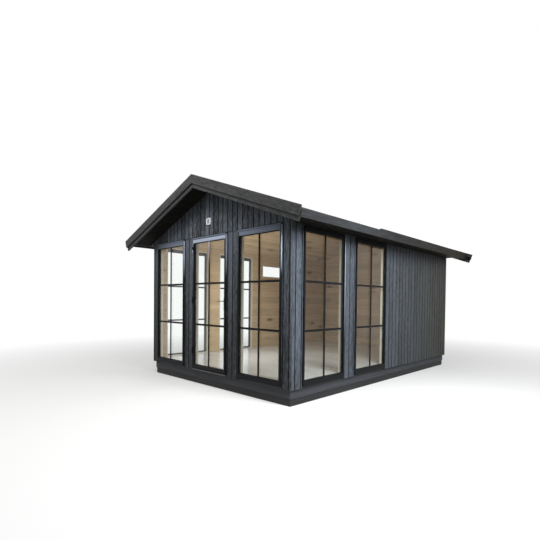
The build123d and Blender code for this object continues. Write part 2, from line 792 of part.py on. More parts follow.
# Barge boards, an upper one before a lower one, at both gables
for end_name, upper_back, lower_back in (
    ("front", -barge_face + BARGE_BOARD, -barge_face + 2 * BARGE_BOARD),
    ("back", barge_face, barge_face - BARGE_BOARD),
):
    with BuildPart() as barge_upper:
        with BuildSketch(facing_front(upper_back)):
            add(barge_pair(0, BARGE_UPPER_DEPTH))
        extrude(amount=BARGE_BOARD)
    finish(barge_upper, f"barge_{end_name}_upper")

    with BuildPart() as barge_lower:
        with BuildSketch(facing_front(lower_back)):
            add(barge_pair(BARGE_LOWER_START, BARGE_LOWER_DEPTH))
        extrude(amount=BARGE_BOARD)
    finish(barge_lower, f"barge_{end_name}_lower")

# Drip boards over the three front units
drip_back = -core_y
drip_nose = front_face - DRIP_PROUD
with BuildPart() as head_drips:
    for centre in front_centres:
        with BuildSketch(Plane.YZ.offset(centre - UNIT_WIDTH / 2)):
            with BuildLine():
                Polyline(
                    (drip_back, unit_top),
                    (drip_back, gable_boards_bottom),
                    (drip_nose, gable_boards_bottom - DRIP_DROP),
                    (drip_nose, unit_top - DRIP_LIP),
                    (drip_nose + DRIP_LIP, unit_top - DRIP_LIP),
                    (drip_nose + DRIP_LIP, unit_top),
                    close=True,
                )
            make_face()
        extrude(amount=UNIT_WIDTH)
finish(head_drips, "head_drips")

# Vent plate on the gable boards
vent_back = front_face - GABLE_BOARDS_PROUD
vent_centre = (VENT_CENTRE_X, unit_top + VENT_RISE)
with BuildPart() as gable_vent:
    with BuildSketch(facing_front(vent_back)):
        with Locations(vent_centre):
            RectangleRounded(VENT_WIDTH, VENT_HEIGHT, VENT_CORNER)
    extrude(amount=VENT_THICKNESS)
    fillet(gable_vent.faces().sort_by(Axis.Y)[0].edges(), VENT_EDGE)
    with BuildSketch(facing_front(vent_back - VENT_THICKNESS)):
        with Locations(vent_centre):
            with GridLocations(1, VENT_SLOT_PITCH, 1, VENT_SLOTS):
                SlotOverall(VENT_SLOT_LENGTH, VENT_SLOT_WIDTH)
    extrude(amount=-VENT_THICKNESS / 2, mode=Mode.SUBTRACT)
finish(gable_vent, "gable_vent")
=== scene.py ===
import math
from random import Random

import bmesh
import bpy
from bpy.props import FloatProperty, FloatVectorProperty, IntProperty, PointerProperty
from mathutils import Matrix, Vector


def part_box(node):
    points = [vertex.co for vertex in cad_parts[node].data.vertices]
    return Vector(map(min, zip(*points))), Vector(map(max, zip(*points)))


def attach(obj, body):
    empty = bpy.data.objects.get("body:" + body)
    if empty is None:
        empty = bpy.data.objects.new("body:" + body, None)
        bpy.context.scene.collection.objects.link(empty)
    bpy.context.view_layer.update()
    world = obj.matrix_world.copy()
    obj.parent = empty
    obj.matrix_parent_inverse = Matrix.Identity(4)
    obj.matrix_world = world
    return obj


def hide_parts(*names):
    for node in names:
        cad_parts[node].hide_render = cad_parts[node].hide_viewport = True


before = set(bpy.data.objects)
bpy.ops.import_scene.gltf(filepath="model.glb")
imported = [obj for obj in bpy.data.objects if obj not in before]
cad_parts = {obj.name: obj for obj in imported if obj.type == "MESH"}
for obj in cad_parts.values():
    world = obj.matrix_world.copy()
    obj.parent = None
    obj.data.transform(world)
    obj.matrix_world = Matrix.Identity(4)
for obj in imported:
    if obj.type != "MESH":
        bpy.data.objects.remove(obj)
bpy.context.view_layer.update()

bl_info = {
    "name": "Garden cabin",
    "version": (1, 0, 0),
    "blender": (4, 5, 0),
    "location": "View3D > Sidebar > Cabin",
    "description": "Boards, glazing, roofing and finishes of a garden cabin",
    "category": "Object",
}

# Lines of the walls and the roof, from the frame
HALF_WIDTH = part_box("right_cladding")[1].x
HALF_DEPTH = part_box("back_cladding")[1].y
CORE_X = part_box("right_wall")[1].x
CORE_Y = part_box("back_wall")[1].y
INNER_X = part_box("right_wall")[0].x
INNER_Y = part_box("back_wall")[0].y
SILL_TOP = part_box("front_piers")[0].z
UNIT_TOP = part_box("front_piers")[1].z
CLADDING_BOTTOM, CLADDING_TOP = (corner.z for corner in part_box("right_cladding"))
GABLE_BOARDS_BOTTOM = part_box("front_cladding")[1].z
SOFFIT_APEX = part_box("front_gable_cladding")[1].z
VERGE_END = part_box("front_gable_cladding")[1].x
FLOOR_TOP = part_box("floor")[1].z
CEILING_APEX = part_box("front_gable")[1].z
ROOF_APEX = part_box("roof_right")[1].z
RIDGE_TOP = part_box("barge_front_upper")[1].z
ROOF_HALF_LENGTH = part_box("roof_right")[1].y
SLOPE = (CEILING_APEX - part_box("side_headers")[1].z) / INNER_X
PITCH = math.atan(SLOPE)
RAKE = math.cos(PITCH)

# Lines of the glazed units, from the frame
UNIT_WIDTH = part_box("door_frame")[1].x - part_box("door_frame")[0].x
UNIT_HEIGHT = (SILL_TOP, UNIT_TOP)
UNIT_FACE_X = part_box("right_window_frames")[1].x
UNIT_FACE_Y = -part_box("front_window_frames")[0].y
UNIT_DEPTH = UNIT_FACE_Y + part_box("front_window_frames")[1].y
DOOR_PANE_SPAN, (DOOR_GLASS_FACE, DOOR_GLASS_BACK), PANE_HEIGHT = zip(*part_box("door_pane"))
PANE_BOTTOM, PANE_TOP = PANE_HEIGHT
GLASS_SETBACK = UNIT_FACE_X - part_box("window_panes")[1].x
DOOR_GLASS_SETBACK = DOOR_GLASS_FACE + UNIT_FACE_Y
GLASS_THICKNESS = DOOR_GLASS_BACK - DOOR_GLASS_FACE
HIGH_SPAN, HIGH_HEIGHT = list(zip(*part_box("high_window_frame")))[1:]

# Directions across, out of and up a wall's face
X, Y, UP = Vector((1, 0, 0)), Vector((0, 1, 0)), Vector((0, 0, 1))
FACING_FRONT, FACING_RIGHT, FACING_LEFT = (X, -Y, UP), (Y, X, UP), (Y, -X, UP)

# Directions down the roof's slope and out of it, on the right and on the left
RIGHT_SLOPE, LEFT_SLOPE = (
    (Vector((side * RAKE, 0, -math.sin(PITCH))), Vector((side * math.sin(PITCH), 0, RAKE)))
    for side in (1, -1)
)

# Origin and directions of each side's units
FRONT_UNITS = (-Y * UNIT_FACE_Y, FACING_FRONT)
RIGHT_UNITS = (X * UNIT_FACE_X, FACING_RIGHT)
LEFT_UNITS = (-X * UNIT_FACE_X, FACING_LEFT)

CHAMFER = 0.0015  # of the boards, where nothing else is said
FACE_DEPTH = 0.004  # of the layer at the front of a rail or stile that counts as its face
TINY = 1e-4  # shorter stretches of a board are left out


def about(middle, width):
    """A span of some width about its middle."""
    return middle - width / 2, middle + width / 2


def within(span, margin):
    """A span that is shorter by a margin at both ends."""
    return span[0] + margin, span[1] - margin


def unit_spans(name, axis):
    """The two spans that a node of two units takes along an axis."""
    low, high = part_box(name)
    return [(low[axis], low[axis] + UNIT_WIDTH), (high[axis] - UNIT_WIDTH, high[axis])]


FRONT_SPANS = unit_spans("front_window_frames", 0)
SIDE_SPANS = unit_spans("right_window_frames", 1)
DOOR_SPAN = about(0, UNIT_WIDTH)


def pier_spans(half_width):
    """The four spans of the front wall beside and between its units."""
    edges = [-half_width, *FRONT_SPANS[0], *DOOR_SPAN, *FRONT_SPANS[1], half_width]
    return zip(edges[::2], edges[1::2])


def measure(name, description, default, unit="LENGTH"):
    """A measure that a user may change."""
    return FloatProperty(name=name, description=description, default=default, unit=unit)


def hue(name, description, default):
    """A colour that a user may change."""
    return FloatVectorProperty(name=name, description=description, default=default, subtype="COLOR")


class CladdingSettings(bpy.types.PropertyGroup):
    """Sizes and colours of the outer boards."""

    cover: measure("Board cover", "Width that one board shows", 0.1165)
    groove: measure("Groove", "Width of the groove between two boards", 0.015)
    groove_depth: measure("Groove depth", "Depth of the groove", 0.009)
    stain: hue("Stain", "Colour of the stain", (0.017, 0.019, 0.019))
    worn: hue("Worn stain", "Colour where the stain is thin", (0.119, 0.139, 0.172))


class GlazingSettings(bpy.types.PropertyGroup):
    """Frames, bars and panes."""

    stile: measure("Stile", "Width of a fixed frame beside its pane", 0.028)
    high_rail: measure("High rail", "Width of the high window's frame", 0.090)
    bar_width: measure("Bar width", "Width of the bars before a pane", 0.030)
    bar_thickness: measure("Bar thickness", "Thickness of the bars", 0.010)
    columns: IntProperty(name="Columns", description="Fields side by side in a tall unit", default=2)
    rows: IntProperty(name="Rows", description="Fields one above another in a tall unit", default=3)
    sheet: measure("Sheet", "Thickness of one sheet of glass", 0.004)
    spacer: measure("Spacer", "Width of the spacer between two sheets", 0.008)
    bead: measure("Bead", "Width of the rounded bead round a pane", 0.009)
    paint: hue("Paint", "Colour of frames and bars", (0.006, 0.0065, 0.0075))
    # Painted sheen and painted highlight: lighter bluish colours that stand in for the sky's reflection on
    # the frames' heads and edges
    facing_tint: hue("Painted sheen", "Colour of the front frames at their heads", (0.21, 0.25, 0.33))
    door_sheen: hue("Painted door sheen", "Colour of the door at its head", (0.46, 0.53, 0.68))


class RoomSettings(bpy.types.PropertyGroup):
    """Boards of the room."""

    wall_cover: measure("Wall boards", "Height that one wall board shows", 0.145)
    ceiling_cover: measure("Ceiling boards", "Width that one ceiling board shows", 0.120)
    floor_cover: measure("Floor boards", "Width that one floor board shows", 0.137)
    lining_thickness: measure("Lining", "Thickness of the window linings", 0.018)
    lining_rise: measure("Lining sill", "Height of the linings' sills over the floor", 0.010)
    pine: hue("Pine", "Colour of the pale wood", (0.60, 0.43, 0.235))
    lining: hue("Lining paint", "Colour of the window linings", (0.66, 0.60, 0.48))


class RoofSettings(bpy.types.PropertyGroup):
    """Felt and trim of the roof."""

    deck: measure("Deck", "Upright thickness of the decking with its felt", 0.020)
    ceiling: measure("Ceiling", "Upright thickness of the ceiling boards", 0.015)
    strip: measure("Felt strip", "Width that one strip of felt shows", 0.93)
    lap: measure("Lap", "Step where two strips lap", 0.003)
    cap_length: measure("Cap length", "Length that one piece of the ridge cap shows", 1.0)
    soffit_cover: measure("Soffit boards", "Width that one soffit board shows", 0.095)
    upper_barge: measure("Upper barge", "Depth of the upper barge boards", 0.125)
    lower_barge: measure("Lower barge", "Depth at which the lower barge boards end", 0.185)
    lower_start: measure("Lower barge start", "Depth at which the lower barge boards start", 0.065)


class StageSettings(bpy.types.PropertyGroup):
    """Camera, light and floor."""

    focal_length: measure("Focal length", "Focal length of the camera", 25.667, "CAMERA")
    eye_height: measure("Eye height", "Height of the camera over the floor", 1.339)
    floor: hue("Floor", "Colour of the floor", (0.80, 0.80, 0.79))
    bounce: hue("Bounce", "Colour of the light that the floor throws back on the cabin", (0.22, 0.21, 0.19))
    daylight: FloatProperty(
        name="Daylight", description="Strength of the light from all round", default=0.42, subtype="FACTOR")
    key_power: measure("Key light", "Power of the soft lamp at the right", 325.0, "POWER")
    front_power: measure("Front light", "Power of the soft lamp before the front", 125.0, "POWER")
    room_power: measure("Room light", "Power of the soft lamp in the room", 42.0, "POWER")


class CabinSettings(bpy.types.PropertyGroup):
    """All settings of the cabin."""

    cladding: PointerProperty(type=CladdingSettings)
    glazing: PointerProperty(type=GlazingSettings)
    room: PointerProperty(type=RoomSettings)
    roof: PointerProperty(type=RoofSettings)
    stage: PointerProperty(type=StageSettings)


def settings():
    """The scene's settings of the cabin."""
    return bpy.context.scene.cabin


def shade(colour, factor):
    """A colour made lighter or darker."""
    return tuple(factor * part for part in colour)


def fill(tree, made, inputs):
    """Gives a node's inputs a value or links them to a socket."""
    for name, value in inputs.items():
        if isinstance(value, bpy.types.NodeSocket):
            tree.links.new(value, made.inputs[name])
        else:
            made.inputs[name].default_value = value


def node(tree, kind, inputs=None, **options):
    """New node with its options set and its inputs filled."""
    made = tree.nodes.new("ShaderNode" + kind)
    for name, value in options.items():
        setattr(made, name, value)
    fill(tree, made, inputs or {})
    return made


def reckon(tree, operation, *values):
    """Result of a math node."""
    return node(tree, "Math", dict(enumerate(values)), operation=operation).outputs[0]


def blend(tree, share, first, second, mode="MIX"):
    """Colour between two colours, each a tuple or a socket."""
    ends = [end if isinstance(end, bpy.types.NodeSocket) else (*end, 1) for end in (first, second)]
    inputs = {0: share, 6: ends[0], 7: ends[1]}
    return node(tree, "Mix", inputs, data_type="RGBA", blend_type=mode).outputs[2]


def noise(tree, at, stretch, detail=4.0, roughness=0.55):
    """Noise of coordinates that are stretched by three factors."""
    mapped = node(tree, "Mapping", {"Vector": at, "Scale": stretch}).outputs[0]
    inputs = {"Vector": mapped, "Scale": 1.0, "Detail": detail, "Roughness": roughness}
    return node(tree, "TexNoise", inputs).outputs["Fac"]


def spread(tree, value, low, high, to_low=0.0, to_high=1.0):
    """Value carried from one range to another."""
    ends = {"Value": value, "From Min": low, "From Max": high, "To Min": to_low, "To Max": to_high}
    return node(tree, "MapRange", ends).outputs[0]


def bumps(tree, height, strength, distance):
    """Normal of a surface with fine bumps."""
    return node(tree, "Bump", {"Height": height, "Strength": strength, "Distance": distance}).outputs[0]


def attribute(tree, name, socket):
    """Socket of an attribute of the mesh."""
    return node(tree, "Attribute", attribute_name=name).outputs[socket]


def place_in_cabin(tree, axis=None):
    """Place of the shaded point in the cabin, or its distance along an axis."""
    place = node(tree, "TexCoord").outputs["Object"]
    return node(tree, "SeparateXYZ", {"Vector": place}).outputs[axis] if axis else place


def shown_ray(tree):
    """1 for the rays that carry the background to the camera, as seen, mirrored or through glass."""
    path = node(tree, "LightPath")
    seen = reckon(tree, "MAXIMUM", path.outputs["Is Camera Ray"], path.outputs["Is Glossy Ray"])
    return reckon(tree, "MAXIMUM", seen, path.outputs["Is Transmission Ray"])


def new_material(name):
    """Empty material with a Principled shader and its output, as (material, tree, shader)."""
    material = bpy.data.materials.new(name)
    material.use_nodes = True
    tree = material.node_tree
    tree.nodes.clear()
    shader = node(tree, "BsdfPrincipled")
    node(tree, "OutputMaterial", {"Surface": shader.outputs[0]})
    return material, tree, shader


def mix_in(tree, shader, share, other):
    """Puts a share of another shader in place of a material's own."""
    mixed = node(tree, "MixShader", {0: share, 1: shader.outputs[0], 2: other.outputs[0]})
    output = next(n for n in tree.nodes if n.type == "OUTPUT_MATERIAL")
    tree.links.new(mixed.outputs[0], output.inputs["Surface"])


# Scales of the wood's noises along and across the grain, and how much of each is in the colour
WARP_SCALE, WARP_SHARE = (0.9, 5, 5), 0.20
STREAK_SCALE, STREAK_SHARE = (1.3, 60, 60), 0.55
PORE_SCALE, PORE_SHARE = (7, 340, 340), 0.25
KNOT_SCALE = (1.5, 3.8, 3.8)
STREAK_RELIEF = 0.6  # height of the streaks beside that of the pores

# Ranges from which a material's share of the second colour is worked out
NOISE_RANGE = (0.3, 0.7)
# WALL_HEIGHTS: heights between which the walls' painted light goes from its darkest to its lightest
WALL_HEIGHTS = (0.5, 2.5)
# EDGE_RANGE and FACING_RANGE place the second colours of with_fades, on the frames a painted sheen and
# highlight: at edges where hollow is low, on faces towards a direction
EDGE_RANGE = (0.15, 0.55, 1.0, 0.0)
FACING_RANGE = (0.4, 0.8)
KNOT_HALO = (0.26, 0.09, 0.0, 0.55)
KNOT_HEART = (0.12, 0.06, 0.0, 0.9)


def with_fades(tree, colour, fades):
    """Colour with the fades on it, each a second colour, a direction and two heights.

    Faces towards the direction turn to the second colour between the heights, where hollow is low. On the
    frames, bars and drips the second colour is a painted sheen and highlight standing in for the sky's
    reflection; on the barge boards it is the darker end grain.
    """
    for facing_tint, direction, rise in fades:
        edge = spread(tree, attribute(tree, "hollow", "Fac"), *EDGE_RANGE)
        normal = node(tree, "TexCoord").outputs["Normal"]
        facing = node(tree, "VectorMath", {0: normal, 1: direction}, operation="DOT_PRODUCT").outputs["Value"]
        share = reckon(tree, "MULTIPLY", spread(tree, place_in_cabin(tree, "Z"), *rise), edge)
        share = reckon(tree, "MULTIPLY", share, spread(tree, facing, *FACING_RANGE))
        colour = blend(tree, share, colour, facing_tint)
    return colour


def with_knots(tree, colour, at, dark):
    """Colour with knots on it, each a dark heart with a halo."""
    cells = node(tree, "Mapping", {"Vector": at, "Scale": KNOT_SCALE}).outputs[0]
    ring = node(tree, "TexVoronoi", {"Vector": cells, "Scale": 1.0}).outputs["Distance"]
    colour = blend(tree, spread(tree, ring, *KNOT_HALO), colour, dark)
    return blend(tree, spread(tree, ring, *KNOT_HEART), colour, shade(dark, 0.5))


def wood(name, dark, light, contrast, grain_axis=None, **finish):
    """Wood with long streaks and fine pores; the grain comes from the boards or runs along X or Y.

    finish may hold rough (two roughnesses), bump, hollow_colour (colour of the painted shade where hollow is
    high, in grooves, joints and recesses), knots (a colour), tone (spread of the boards), lift
    (painted light: how much lighter the heads of the walls are than their feet), streak (scale of the
    streaks), gloss, aged (a tint that comes on along Y between two places) and fades.
    """
    material, tree, shader = new_material(name)
    if grain_axis is None:
        at = attribute(tree, "grain", "Vector")
        tone = attribute(tree, "tone", "Fac")
    else:
        turn = (0, 0, math.pi / 2 if grain_axis == "Y" else 0)
        at = node(tree, "Mapping", {"Vector": place_in_cabin(tree), "Rotation": turn}).outputs[0]
        tone = 0.5
    warp = noise(tree, at, WARP_SCALE, 2.0)
    streaks = noise(tree, at, finish.get("streak", STREAK_SCALE), 6.0, 0.68)
    pores = noise(tree, at, PORE_SCALE, 3.0, 0.6)
    mixed = reckon(tree, "MULTIPLY_ADD", streaks, STREAK_SHARE, reckon(tree, "MULTIPLY", pores, PORE_SHARE))
    mixed = reckon(tree, "MULTIPLY_ADD", warp, WARP_SHARE, mixed)
    own_tone = finish.get("tone", 0.12)
    mixed = reckon(tree, "ADD", mixed, reckon(tree, "MULTIPLY_ADD", tone, own_tone, -own_tone / 2))
    # Painted light: the walls lighter at their heads and darker at their feet
    if "lift" in finish:
        lift = finish["lift"]
        height = place_in_cabin(tree, "Z")
        mixed = reckon(tree, "ADD", mixed, spread(tree, height, *WALL_HEIGHTS, -lift, lift))
    colour = blend(tree, spread(tree, mixed, 0.5 - contrast, 0.5 + contrast), dark, light)
    if "knots" in finish:
        colour = with_knots(tree, colour, at, finish["knots"])
    # A tint along Y; on the side boards it is painted light, warmer and darker towards the back
    if "aged" in finish:
        tint, start, end = finish["aged"]
        colour = blend(tree, spread(tree, place_in_cabin(tree, "Y"), start, end), colour, tint, "MULTIPLY")
    # Painted shade in grooves, joints and recesses, as deep as hollow is high
    if "hollow_colour" in finish:
        colour = blend(tree, attribute(tree, "hollow", "Fac"), colour, finish["hollow_colour"])
    height = reckon(tree, "MULTIPLY_ADD", streaks, STREAK_RELIEF, pores)
    fill(tree, shader, {
        "Base Color": with_fades(tree, colour, finish.get("fades", ())),
        "Roughness": spread(tree, pores, *NOISE_RANGE, *finish.get("rough", (0.5, 0.75))),
        "Specular IOR Level": finish.get("gloss", 0.25),
        "Normal": bumps(tree, height, 0.5, finish.get("bump", 0.001)),
    })
    return material


def coated(name, colour, worn, roughness, metallic=0.0, grain=0.0004, gloss=0.5, fades=()):
    """Painted, plastic or metal surface with faint unevenness, and painted sheen where fades are given."""
    material, tree, shader = new_material(name)
    at = place_in_cabin(tree)
    cloud = noise(tree, at, (6, 6, 6))
    fine = noise(tree, at, (420, 420, 420), 2.0)
    fill(tree, shader, {
        "Base Color": with_fades(tree, blend(tree, spread(tree, cloud, *NOISE_RANGE), colour, worn), fades),
        "Roughness": spread(tree, cloud, *NOISE_RANGE, roughness * 0.85, roughness * 1.15),
        "Specular IOR Level": gloss,
        "Metallic": metallic,
        "Normal": bumps(tree, fine, 0.3, grain),
    })
    return material


def mineral_felt():
    """Dark roofing felt with mineral grit."""
    material, tree, shader = new_material("mineral_felt")
    dark, light = (0.018, 0.019, 0.021), (0.075, 0.077, 0.08)
    cloud_share, grit_share = 0.4, 0.6
    at = place_in_cabin(tree)
    grit = noise(tree, at, (260, 260, 260), 2.0)
    cloud = noise(tree, at, (1.7, 1.7, 1.7))
    share = reckon(tree, "MULTIPLY_ADD", grit, grit_share, reckon(tree, "MULTIPLY", cloud, cloud_share))
    colour = blend(tree, spread(tree, share, 0.35, 0.65), dark, light)
    fill(tree, shader, {"Base Color": colour, "Roughness": 0.88, "Normal": bumps(tree, grit, 0.6, 0.002)})
    return material


def clear_glass():
    """Clear glass that lets the lamps' light through to the room."""
    material, tree, shader = new_material("clear_glass")
    tint = (0.985, 0.995, 0.99, 1)
    fill(tree, shader, {"Base Color": tint, "Roughness": 0.0, "IOR": 1.18, "Transmission Weight": 1.0})
    clear = node(tree, "BsdfTransparent", {"Color": (0.90, 0.915, 0.91, 1)})
    path = node(tree, "LightPath")
    through = reckon(tree, "MAXIMUM", path.outputs["Is Shadow Ray"], path.outputs["Is Diffuse Ray"])
    mix_in(tree, shader, through, clear)
    return material


def add_object(name, data):
    """New object in the scene."""
    made = bpy.data.objects.new(name, data)
    bpy.context.scene.collection.objects.link(made)
    return made


def value_at(bound, u):
    """A bound that is a number or a function of u."""
    return bound(u) if callable(bound) else bound


def cut(profile, low, high):
    """The part of a profile between two values of u."""
    for limit, side in ((low, 1), (high, -1)):
        kept = []
        for here, after in zip(profile, profile[1:] + profile[:1]):
            inside = side * (here[0] - limit) >= -1e-9
            if inside:
                kept.append(here)
            if inside != (side * (after[0] - limit) >= -1e-9):
                share = (limit - here[0]) / (after[0] - here[0])
                kept.append(tuple(a + share * (b - a) for a, b in zip(here, after)))
        profile = kept
    return profile


def open_spans(low, high, holes, u):
    """The spans between low and high at u that no hole (u0, u1, t0, t1) takes."""
    spans = []
    start = low
    for hole in sorted((h for h in holes if h[0] < u < h[1]), key=lambda h: h[2]):
        if value_at(start, u) < hole[2] - TINY / 10:
            spans.append((start, hole[2]))
        start = hole[3]
    if value_at(start, u) < value_at(high, u) - TINY / 10:
        spans.append((start, high))
    return spans


class BoardStack:
    """One mesh of many boards, each with grain coordinates and a tone of its own."""

    def __init__(self, seed):
        self.corners = []
        self.faces = []
        self.draw = Random(seed)

    def luck(self):
        """A tone and a shift of the grain for one board."""
        return self.draw.random(), Vector([self.draw.uniform(0, 40) for _ in range(3)])

    def board(self, profile, origin, axes, start, end, chamfer=CHAMFER, luck=None):
        """Prism along the third axis, its profile of (u, v, hollow) points in the first two axes.

        start and end are lengths or functions of u, so that an end can be slanted.
        """
        tone, shift = luck or self.luck()
        middle = [(min(p[n] for p in profile) + max(p[n] for p in profile)) / 2 for n in (0, 1)]
        rings = [(start, 0.0, 0.0), (end, 0.0, 0.0)]
        if chamfer:
            rings = [(start, chamfer, 0.0), (start, 0.0, chamfer), (end, 0.0, -chamfer), (end, chamfer, 0.0)]
        first = len(self.corners)
        for bound, inset, step in rings:
            for u, v, hollow in profile:
                u_in, v_in = (
                    here - math.copysign(min(inset, abs(here - centre)), here - centre)
                    for here, centre in zip((u, v), middle))
                t = value_at(bound, u) + step
                place = origin + axes[0] * u_in + axes[1] * v_in + axes[2] * t
                self.corners.append((place, Vector((t, u, v)) + shift, tone, hollow))
        count = len(profile)
        last = len(self.corners) - count
        self.faces.append([first + n for n in reversed(range(count))])
        self.faces.append([last + n for n in range(count)])
        for ring in range(first, last, count):
            for n in range(count):
                here, beside = ring + n, ring + (n + 1) % count
                self.faces.append([here, beside, beside + count, here + count])

    def plank(self, origin, axes, across, through, along, chamfer=CHAMFER, hollow=None):
        """Board with a rectangular section, chamfered along its edges too; hollow is a function of (u, v)."""
        (u0, u1), (v0, v1) = across, through
        c = chamfer
        profile = [
            (u0 + c, v0), (u1 - c, v0), (u1, v0 + c), (u1, v1 - c),
            (u1 - c, v1), (u0 + c, v1), (u0, v1 - c), (u0, v0 + c),
        ]
        marked = [(*point, hollow(*point) if hollow else 0.0) for point in profile]
        self.board(marked, origin, axes, *along, chamfer)

    def surround(self, origin, axes, span, height, sides, depth, chamfer=CHAMFER, edges=None, head=1.0):
        """Two stiles with a bottom and a top rail between them; sides are their four widths.

        Where edges is given, the attribute hollow is 0 only at the outer edges of the stiles' faces, and
        rises to 1 over those two widths; head is its value on the top rail's face. The frames' painted sheen
        and painted highlight lie only where hollow is low.
        """
        left, right, bottom, top = sides
        (u0, u1), (z0, z1) = span, height
        fades = edges or (0.0, 0.0)
        # Widths over which the painted highlight at the stiles' outer edges dies away
        between = (u0 + left, u1 - right)
        face = depth[1] - FACE_DEPTH

        def away_from(edge, width):
            """Rises from 0 at an edge to 1 over a width."""
            return lambda u: min(1.0, abs(u - edge) / width if width else 1.0)

        def on_face(value):
            """A value of hollow on the face, and 1 behind it."""
            return (lambda u, v: value(u) if v > face else 1.0) if edges else None

        for turned, reach, along, value in (
            (axes, (u0, between[0]), height, away_from(u0, fades[0])),
            (axes, (between[1], u1), height, away_from(u1, fades[1])),
            (axes[::-1], (z0, z0 + bottom), between, lambda z: 1.0),
            (axes[::-1], (z1 - top, z1), between, lambda z: head),
        ):
            self.plank(origin, turned, reach, depth, along, chamfer, on_face(value))

    def lay(self, profile, origin, axes, reach, low, high, anchor=0.0, holes=(), chamfer=0.0):
        """Boards side by side over reach, each from low to high with the holes left out."""
        cover = profile[-1][0]
        first = math.floor((reach[0] - anchor) / cover + TINY)
        last = math.ceil((reach[1] - anchor) / cover - TINY)
        for number in range(first, last):
            left = anchor + number * cover
            u0, u1 = max(left, reach[0]), min(left + cover, reach[1])
            marks = {edge for hole in holes for edge in hole[:2] if u0 + TINY < edge < u1 - TINY}
            marks = sorted(marks | {u0, u1})
            luck = self.luck()
            placed = [(left + u, v, hollow) for u, v, hollow in profile]
            for start_u, end_u in zip(marks, marks[1:]):
                points = cut(placed, start_u, end_u)
                for start, end in open_spans(low, high, holes, (start_u + end_u) / 2):
                    self.board(points, origin, axes, start, end, chamfer, luck)

    def finish(self, name, material, slot, *replaced, body="cabin"):
        """Makes the mesh, and gives it its material and body; slot is not used."""
        places, grain, tone, hollow = zip(*self.corners)
        mesh = bpy.data.meshes.new(name)
        mesh.from_pydata(places, [], self.faces)
        mesh.update()
        shape = bmesh.new()
        shape.from_mesh(mesh)
        bmesh.ops.recalc_face_normals(shape, faces=shape.faces)
        shape.to_mesh(mesh)
        shape.free()
        vectors = mesh.attributes.new("grain", "FLOAT_VECTOR", "POINT")
        vectors.data.foreach_set("vector", [part for vector in grain for part in vector])
        # hollow carries the painted shade of grooves, joints and recesses, and keeps the frames' painted
        # sheen to their outer edges
        for key, values in (("tone", tone), ("hollow", hollow)):
            mesh.attributes.new(key, "FLOAT", "POINT").data.foreach_set("value", values)
        mesh.materials.append(material)
        piece = add_object(name, mesh)
        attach(piece, body)
        if replaced:
            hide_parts(*replaced)


def dress(material, *names, bevel=0.0):
    """Gives carried-over CAD nodes a material, and soft edges where a bevel is given."""
    for name in names:
        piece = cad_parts[name]
        piece.data.materials.clear()
        piece.data.materials.append(material)
        if bevel:
            edge = piece.modifiers.new("soft_edges", "BEVEL")
            edge.width = bevel
            edge.segments = 2
            edge.limit_method = "ANGLE"


def grooved_profile(own, thickness):
    """Section of a board with half a sunk groove at each edge; its hollow marks the painted shade in the
    groove.
    """
    lean, shoulder, dip, soft = 0.0005, 0.0025, 0.0004, 0.007
    half, floor = own.groove / 2, thickness - own.groove_depth
    edge = [
        (0.0, floor, 1.0), (half - lean, floor, 1.0), (half, thickness - shoulder, 0.7),
        (half + shoulder, thickness - dip, 0.3), (half + soft, thickness, 0.0),
    ]
    far = [(own.cover - u, v, hollow) for u, v, hollow in reversed(edge)]
    return [(0.0, 0.0, 1.0), *edge, *far, (own.cover, 0.0, 1.0)]


def notched_profile(cover, thickness, notch):
    """Section of a board whose outer corners are cut off, so that two boards meet in a V; hollow marks the
    painted shade in the V.
    """
    return [
        (0.0, 0.0, 0.0), (0.0, thickness - notch, 1.0), (notch, thickness, 0.0),
        (cover - notch, thickness, 0.0), (cover, thickness - notch, 1.0), (cover, 0.0, 0.0),
    ]


def charcoal_stain(name, contrast, stain, worn, **finish):
    """Charcoal stain on rough boards, its two colours made lighter or darker by a factor each."""
    own = settings().cladding
    return wood(
        name, shade(own.stain, stain), shade(own.worn, worn), contrast, bump=0.003, rough=(0.45, 0.75),
        streak=(12, 56, 56), **finish)


